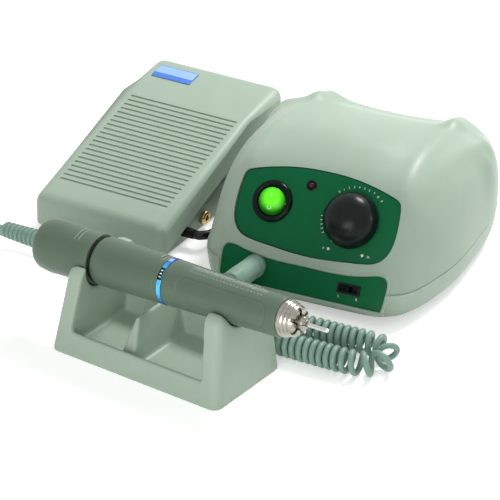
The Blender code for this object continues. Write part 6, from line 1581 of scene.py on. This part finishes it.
@dataclass
class Cradle:
    """The moulded cradle: two leaning end plates with saddles, a low tray between them and its divider."""

    length: float = 0.1154
    off_centre: float = -0.0006
    width: float = 0.0600
    height: float = 0.0500
    end_draft: float = 0.109
    front_draft: float = 0.217
    back_draft: float = 0.040
    end_plate: float = 0.0112
    tray_floor: float = 0.0040
    tray_half: float = 0.0240
    front_wall: float = 0.0135
    back_wall: float = 0.0240
    voxel: float = 0.0008
    rounding: float = 0.0052
    mouth_reach: float = -0.05
    divider: Tuple[Tuple[float, ...], ...] = (
        (-0.0160, -0.0040, -0.0240, 0.0255, 0.0020), (-0.0112, -0.0088, -0.0120, 0.0255, 0.0280),
    )
    seats: Tuple[Point, ...] = ((0.0151, -0.0617, -0.0350), (0.0127, 0.0350, 0.0617))
    smoothing: int = 22
    foot_level: float = 0.0009

    def block(self, low: Sequence[float], high: Sequence[float]) -> bpy.types.Mesh:
        """A block whose floor and top are rectangles, each given as x0, x1, y0, y1, z.

        Args:
            low: the floor.
            high: the top.

        Returns:
            The mesh.
        """
        rings = np.array([
            [(x0, y0, z), (x1, y0, z), (x1, y1, z), (x0, y1, z)] for x0, x1, y0, y1, z in (low, high)
        ])
        return stacked(placed(rings, CRADLE))

    def hollow(self) -> bpy.types.Mesh:
        """The open space between the end plates: one outline in Y and Z carried from plate to plate."""
        above = self.height + 0.004
        wide = self.width
        outline = np.array([
            (-self.tray_half, self.tray_floor), (self.tray_half, self.tray_floor),
            (self.tray_half, self.back_wall), (wide, self.back_wall), (wide, above), (-wide, above),
            (-wide, self.front_wall), (-self.tray_half, self.front_wall),
        ])
        reach = self.length / 2 - self.end_plate - self.end_draft * outline[:, 1]
        rings = np.stack([np.column_stack([self.off_centre + side * reach, outline]) for side in (-1.0, 1.0)])
        return stacked(placed(rings, CRADLE))

    def saddle(self, radius: float, low: float, high: float) -> List[bpy.types.Mesh]:
        """The round seat of a radius between two heights of an end plate, and the way in above it."""
        corners = [(self.mouth_reach, -radius), (0.0, -radius), (0.0, radius), (self.mouth_reach, radius)]
        return [rod(radius, low, high, HAND, 96), plate(np.array(corners), low, high, HAND)]

    def build(self) -> None:
        """Make the cradle: cut it, remesh it finely and soften its edges."""
        half, wide, high = self.length / 2, self.width / 2, self.height
        end, front, back = self.end_draft * high, self.front_draft * high, self.back_draft * high
        block = self.block(
            (self.off_centre - half, self.off_centre + half, -wide, wide, 0.0),
            (self.off_centre - half + end, self.off_centre + half - end, front - wide, wide - back, high),
        )
        with edited(block) as work:
            chosen = [edge for edge in work.edges if not all(abs(vert.co.z) < 1e-5 for vert in edge.verts)]
            bmesh.ops.bevel(work, geom=chosen, offset=self.rounding, segments=10, profile=0.5, affect="EDGES")
        mesh = combined(combined(block, [self.hollow()]), [self.block(*self.divider)], "UNION")
        mesh = combined(mesh, [cutter for seat in self.seats for cutter in self.saddle(*seat)])
        result = modified(
            mesh, {"type": "REMESH", "mode": "VOXEL", "voxel_size": self.voxel},
            {"type": "SMOOTH", "factor": 0.5, "iterations": self.smoothing},
        )
        with edited(result) as work:
            for vert in work.verts:
                vert.co.z = 0.0 if vert.co.z < self.foot_level else vert.co.z
        piece("cradle_moulding", result, SHELL, Body.STATION, ["cradle"], 60.0)


@dataclass
class Handpiece:
    """The pencil handpiece, lengths along its axis from the middle of the cradle towards its nose."""

    facing: float = -123.0
    cap_floor: float = -0.0790
    # Where the two painted highlight arcs of the cap's raised lines sit.
    line_places: Tuple[Tuple[str, float], ...] = (("cap_ridge_highlight_a", -0.0538), ("cap_ridge_highlight_b", -0.0564))
    line_half: float = 0.00015
    patch_depth: float = 0.0002
    patch_steps: int = 16
    grip_radii: Tuple[float, float] = (0.0131, 0.01125)
    grip_middle: float = 0.0122
    pad_turn: float = 15.0
    pad_middle: float = 0.0455
    pad_across: float = 0.0076
    pad_along: float = 0.0290
    pad_rounding: float = 0.0052
    groove_depth: float = 0.00040
    groove_width: float = 0.00030
    dot_pitch: float = 0.00128
    dot_depth: float = 0.00020
    dot_margin: float = 0.0022
    dot_middle: float = -0.0022
    dot_reach: float = 0.0021
    rib_pitch: float = 0.00225
    rib_depth: float = 0.00060
    rib_slant: float = 0.3
    rib_start: float = 0.0118
    rib_fade: float = 0.002
    rib_ends: Tuple[float, float] = (0.0190, 0.0700)

    def from_facing(self, steps: int) -> Array:
        """Each facet's angle from the side that faces the camera, in degrees from -180 to 180."""
        angles = np.degrees(np.linspace(0.0, math.tau, steps, endpoint=False))
        return (angles - self.facing + 180.0) % 360.0 - 180.0

    def rear(self) -> None:
        """Make the rear cap with two short light arcs that paint the highlights of its raised lines, the seal
        and the motor housing.
        """
        steps = 144
        outer = eased([
            (0.0121, -0.0444), (0.0139, -0.0444), (0.0144, -0.0449), (0.0144, -0.0518), (0.01500, -0.0620),
            (0.01535, -0.0730), (0.0149, -0.0790), (0.01355, -0.08272), (0.0100, -0.08464),
            (0.0080, CAP_REAR), (0.0036, CAP_REAR),
        ], 0.0030, 6)
        dense = [np.linspace(a, b, 12, endpoint=False) for a, b in zip(outer[:-1], outer[1:])]
        inner = np.array([(0.0036, self.cap_floor), (0.0121, self.cap_floor)])
        profile = np.vstack([*dense, outer[-1:], inner])
        piece("cap_shell", turned(profile, HAND, steps, True), HANDLE, Body.STATION, ["rear_cap"], 50.0)
        # The raised lines are drawn only as light arcs on their lit upper side: painted highlight.
        for name, height in self.line_places:
            radius = 0.01462 - 0.028 * (height + 0.0538)
            line = self.arc(-74.0, -26.0, height - self.line_half, height + self.line_half, radius)
            piece(name, line, SHELL, Body.STATION)
        seal = eased(
            [(0.0121, -0.0427), (0.0132, -0.0427), (0.0132, -0.0441), (0.0121, -0.0441)], 0.0003, 3, True,
        )
        piece("seal_band", turned(seal, HAND, 96, True), RUBBER, Body.STATION, ["seal_ring"])
        housing = eased([
            (0.0055, 0.0775), (0.0078, 0.0775), (0.0078, 0.0105), (0.0110, 0.0105), (0.0110, 0.0035),
            (BARREL_RADIUS, 0.0035), (BARREL_RADIUS, 0.0017), (0.01300, 0.0014), (0.01300, 0.0008),
            (0.01328, 0.0005), (0.0138, -0.0300), (0.01385, -0.0398), (0.01300, -0.0424), (0.0118, -0.0424),
            (0.0118, -0.0500), (0.0108, -0.0500), (0.0108, -0.0010), (0.0055, -0.0010),
        ], 0.0004, 3, True)
        piece("motor_barrel", turned(housing, HAND, 128, True), HANDLE, Body.STATION, ["motor_housing"], 40.0)

    def ring(self) -> None:
        """Make the blue lock ring, its black index patch, the small marks on it and a light blue strip
        painted on it as a highlight.
        """
        body = eased(
            [(0.0113, 0.0066), (BARREL_RADIUS, 0.0066), (BARREL_RADIUS, 0.0038), (0.0113, 0.0038)], 0.0003,
            3, True,
        )
        piece("lock_ring", turned(body, HAND, 128, True), BLUE_PAINTED_HIGHLIGHT, Body.STATION, ["blue_ring"])
        for name, finish, start, end, low, high, radius in (
            ("lock_patch", BLACK, -27.0, 4.0, 0.0039, 0.0065, 0.01331),
            ("lock_mark_a", WHITE_PRINT, -21.0, -18.0, 0.0045, 0.0059, 0.01335),
            ("lock_mark_b", WHITE_PRINT, -13.0, -10.0, 0.0045, 0.0059, 0.01335),
            ("lock_mark_c", WHITE_PRINT, -5.0, -2.0, 0.0045, 0.0059, 0.01335),
            # Painted highlight: a light blue strip on the ring where it catches the light.
            ("lock_ring_painted_highlight", LIGHT_BLUE_BAND_AND_HIGHLIGHT, -66.0, -52.0, 0.0040, 0.0064, 0.01331),
            ("body_mark_dark", BLACK, -78.0, -58.0, -0.0005, 0.0002, 0.01334),
            ("body_mark_light", SHELL, -78.0, -58.0, -0.0017, -0.0012, 0.01334),
        ):
            piece(name, self.arc(start, end, low, high, radius), finish, Body.STATION)

    def arc(self, start: float, end: float, low: float, high: float, radius: float) -> bpy.types.Mesh:
        """A thin patch on the barrel between two angles from the camera's side and two heights.

        Args:
            start: the first angle in degrees.
            end: the last angle in degrees.
            low: its lower height.
            high: its upper height.
            radius: its outer radius.

        Returns:
            The mesh.
        """
        angles = np.radians(self.facing + np.linspace(start, end, self.patch_steps))
        inner = radius - self.patch_depth
        corners = [(inner, low), (radius, low), (radius, high), (inner, high)]
        rings = np.array([[(r * math.cos(a), r * math.sin(a), h) for r, h in corners] for a in angles])
        return stacked(placed(rings, HAND))

    def grip(self) -> None:
        """Make the grip sleeve: cross ribs over its top and bottom, and an outlined pad on each side."""
        steps = 240
        rows = np.arange(0.0076, 0.0806, 0.00032)
        height = np.concatenate([[0.0069, 0.0070, 0.0072], rows, [0.0808, 0.0811, 0.0813]])
        near, far = height[0], height[-1]
        radius = np.interp(height, (near, far), self.grip_radii)
        radius[:3] -= (0.0004, 0.0002, 0.00005)
        radius[-3:] -= (0.0001, 0.0003, 0.0006)
        inner = np.array([(0.0096, far), (0.0096, 0.0120), (0.0113, 0.0120), (0.0113, near)])
        profile = np.vstack([np.column_stack([radius, height]), inner])
        at, around = profile[:, 1:], self.from_facing(steps)[None]
        signed = np.radians((around - self.pad_turn + 90.0) % 180.0 - 90.0) * self.grip_middle
        across = np.abs(signed)
        dx = across - (self.pad_across - self.pad_rounding)
        dy = np.abs(at - self.pad_middle) - (self.pad_along - self.pad_rounding)
        beyond = np.hypot(np.maximum(dx, 0.0), np.maximum(dy, 0.0))
        edge = beyond + np.minimum(np.maximum(dx, dy), 0.0) - self.pad_rounding
        groove = self.groove_depth * np.exp(-((edge / self.groove_width) ** 2))
        waves = np.cos(math.tau * at / self.dot_pitch) * np.cos(math.tau * signed / self.dot_pitch)
        dotted = np.clip((-self.dot_margin - edge) / 0.0004, 0.0, 1.0) * (
            np.abs(signed - self.dot_middle) < self.dot_reach
        )
        dots = self.dot_depth * np.maximum(waves, 0.0) * dotted
        low, high = self.rib_ends
        ends = np.clip((high - at) / self.rib_fade, 0.0, 1.0) * np.clip((at - low) / self.rib_fade, 0.0, 1.0)
        ribbed = np.clip((across - self.rib_start) / 0.0010, 0.0, 1.0) * ends
        wave = 0.5 - 0.5 * np.cos(math.tau * (at - self.rib_slant * across) / self.rib_pitch)
        ribs = self.rib_depth * wave**1.5 * ribbed
        outer = (profile[:, :1] > 0.0103) & (np.arange(len(profile))[:, None] < len(height))
        relief = np.where(outer, groove + dots + ribs, 0.0)
        mesh = swept(profile[:, :1] - relief, profile[:, 1:], HAND, True)
        piece("grip_ribbed", mesh, HANDLE, Body.GRIP, ["grip_sleeve"], 60.0)

    def spun(self, degrees: float) -> Array:
        """The handpiece's frame turned about its axis."""
        return frame_at(ORIGIN, (0.0, 0.0, degrees), HAND)

    def nose(self) -> None:
        """Make the chromed nozzle with its notches, the slit collet and the bur shank."""
        outer = eased([
            (0.0081, 0.0816), (0.0081, 0.0760), (0.0093, 0.0760), (0.0093, 0.0816), (0.0105, 0.0816),
            (0.0104, 0.0829), (0.0099, 0.0832), (0.0099, 0.0836), (0.0102, 0.0839), (0.0097, 0.0850),
            (0.0092, 0.0853), (0.0092, 0.0857), (0.0095, 0.0860), (0.0090, 0.0871), (0.0085, 0.0874),
            (0.0085, 0.0878), (0.0088, 0.0881), (0.0078, 0.0905), (0.0070, 0.0910), (0.0045, 0.0910),
            (0.0045, 0.0816),
        ], 0.00012, 3, True)
        nozzle = turned(outer, HAND, 96, True)
        notch = rectangle(0.0090, 0.0022, 0.0008, 4) + (0.0083, 0.0)
        notches = [plate(notch, 0.0893, 0.0930, self.spun(60.0 * i)) for i in range(6)]
        piece("nozzle_polished", combined(nozzle, notches), CHROME, Body.GRIP, ["nozzle"], 35.0)
        collet = eased([
            (0.0014, 0.0950), (0.0026, 0.0950), (0.0040, 0.0936), (0.0040, 0.0853), (0.0014, 0.0853),
        ], 0.0003, 4, True)
        slit = rectangle(0.0050, 0.0004, 0.0001, 1) + (0.0035, 0.0)
        slits = [plate(slit, 0.0900, 0.0960, self.spun(120.0 * i + 20.0)) for i in range(3)]
        mesh = combined(turned(collet, HAND, 72, True), slits)
        piece("collet_slit", mesh, CHROME, Body.SPINDLE, ["collet"], 35.0)
        shank = [(0.0, 0.0860), (0.001175, 0.0860), (0.001175, 0.1078), (0.0009, 0.1085), (0.0, 0.1085)]
        piece("bur_turned", turned(eased(shank, 0.0002, 3), HAND, 40), STEEL, Body.BUR, ["bur_shank"])

    def build(self) -> None:
        """Make the whole handpiece."""
        self.rear()
        self.ring()
        self.grip()
        self.nose()


# Pedal


@dataclass
class Pedal:
    """The foot pedal: its hollow treadle with the cross grooves, the label and the brass jack."""

    left: float = -0.0846
    right: float = 0.0041
    profile: Profile = (
        (-0.0530, 0.0064), (-0.0530, 0.0246), (0.0500, 0.0500), (0.0920, 0.0562), (0.0920, 0.0410),
        (0.0180, 0.0268), (-0.0290, 0.0125),
    )
    wall: float = 0.0023
    edge: float = 0.0064
    groove_count: int = 21
    groove_first: float = 0.0466
    groove_last: float = -0.0336
    groove_left: float = -0.0773
    groove_right: float = -0.0033
    groove_width: float = 0.0014
    groove_depth: float = 0.0008
    label_place: Tuple[float, float] = (-0.0635, 0.0756)
    jack_place: Point = (0.0, 0.0010, 0.0075)
    wire_radius: float = 0.0007
    turn_steps: int = 24
    spring_place: Tuple[float, float] = (-0.0400, 0.0450)
    spring_turns: int = 6
    spring_radius: float = 0.0070
    spring_ends: Tuple[float, float] = (0.0050, 0.0315)

    def block(self, wall: float, drop: float, edge: float) -> bpy.types.Mesh:
        """The treadle's outer form, or the form of its hollow, with rounded upper edges.

        Args:
            wall: how far inside the outer form it lies.
            drop: how far its lower edge is lowered.
            edge: the radius of its edges.

        Returns:
            The mesh.
        """
        bottom = {0, 4, 5, 6}
        loops = []
        for x in (self.left + wall, self.right - wall):
            loop = []
            for index, (y, z) in enumerate(self.profile):
                inwards = wall if index in (0, 1) else -wall if index in (3, 4) else 0.0
                loop.append((x, y + inwards, z - drop if index in bottom else z - wall))
            loops.append(loop)
        work = bmesh.new()
        made = [[work.verts.new(point) for point in loop] for loop in loops]
        left, right = made
        work.faces.new(left)
        work.faces.new(list(reversed(right)))
        for i in range(len(left)):
            j = (i + 1) % len(left)
            work.faces.new((left[j], left[i], right[i], right[j]))
        lower = {vert for loop in made for index, vert in enumerate(loop) if index in bottom}
        chosen = [e for e in work.edges if not set(e.verts) <= lower and set(e.verts) != {left[2], right[2]}]
        bmesh.ops.bevel(work, geom=chosen, offset=edge, segments=8, profile=0.5, affect="EDGES")
        bmesh.ops.recalc_face_normals(work, faces=work.faces)
        mesh = bpy.data.meshes.new("treadle")
        work.to_mesh(mesh)
        work.free()
        mesh.transform(Matrix(PEDAL.tolist()))
        return mesh

    def top(self, y: float) -> float:
        """The height of the treadle's top at a place along it."""
        along, heights = zip(*self.profile[1:4])
        return float(np.interp(y, along, heights))

    def slope(self, corner: int) -> float:
        """How steeply the treadle's top climbs after a corner of its profile, in degrees."""
        (y0, z0), (y1, z1) = self.profile[corner : corner + 2]
        return math.degrees(math.atan2(z1 - z0, y1 - y0))

    def build(self) -> None:
        """Make the treadle with its grooves, the label and the jack's bush."""
        grooves = []
        groove = rectangle(self.groove_right - self.groove_left, self.groove_width, 0.00069, 5)
        for y in np.linspace(self.groove_last, self.groove_first, self.groove_count):
            middle = ((self.groove_left + self.groove_right) / 2, float(y), self.top(float(y)))
            local = frame_at(middle, (self.slope(1), 0.0, 0.0), PEDAL)
            grooves.append(plate(groove, -self.groove_depth, 0.0020, local))
        hollow = self.block(self.wall, 0.004, self.edge - self.wall)
        mesh = combined(self.block(0.0, 0.0, self.edge), [hollow, *grooves])
        piece("treadle_moulding", mesh, SHELL, Body.TREADLE, ["treadle"], 35.0)
        local = frame_at((*self.label_place, self.top(self.label_place[1])), (self.slope(2), 0.0, 0.0), PEDAL)
        film = plate(rectangle(0.0270, 0.0122, 0.0006), 0.00015, 0.00050, local, 0.0001)
        piece("label_film", film, LABEL, Body.TREADLE, ["pedal_label"])
        band = plate(rectangle(0.0262, 0.0072, 0.0004) + (0.0, 0.0019), 0.00045, 0.00056, local)
        piece("label_band", band, LIGHT_BLUE_BAND_AND_HIGHLIGHT, Body.TREADLE)
        bush = eased([
            (0.0018, 0.0030), (0.0036, 0.0030), (0.00425, 0.0022), (0.00425, GAP), (0.0032, GAP),
            (0.0032, -0.0120), (0.0, -0.0120), (0.0, -0.0090), (0.0018, -0.0090),
        ], 0.0003, 3, True)
        frame = frame_at(self.jack_place, (0.0, 90.0, 0.0), PEDAL)
        piece("jack_turned", turned(bush, frame, 48, True), BRASS, Body.STATION, ["jack_bush"])
        self.spring()

    def spring(self) -> None:
        """Wind the return spring, an even helix, at the height it keeps under the pressed treadle."""
        x, y = self.spring_place
        turns = np.linspace(0.0, math.tau * self.spring_turns, self.turn_steps * self.spring_turns + 1)
        path = np.column_stack([
            x + self.spring_radius * np.cos(turns), y + self.spring_radius * np.sin(turns),
            np.linspace(*self.spring_ends, len(turns)),
        ])
        mesh = tube(placed(path, PEDAL), self.wire_radius, 10)
        piece("spring_wound", mesh, STEEL, Body.STATION, ["return_spring"])


def dress_solids(frame: Dict) -> None:
    """Give every solid that still shows the finish of its material slot.
    """
    slots = {entry["node"]: entry["material_slot"] for entry in frame["record"]["subparts"]}
    for name, obj in frame["nodes"].items():
        finish = SLOT_FINISH[slots[name]]
        obj.data.materials.clear()
        obj.data.materials.append(finish.material())


def corners() -> List[List[float]]:
    """The whole object's box as plain lists of numbers."""
    return [[float(value) for value in corner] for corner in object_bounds()]


def main() -> None:
    """Load the frame, set the studio and the cords, and dress each sub-assembly in turn."""
    logging.basicConfig(level=logging.INFO, format="%(name)s: %(message)s")
    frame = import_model()
    Studio().build()
    dress_solids(frame)
    Cords().build()
    ControlBox().build()
    Cradle().build()
    Handpiece().build()
    Pedal().build()


if __name__ == "__main__":
    main()
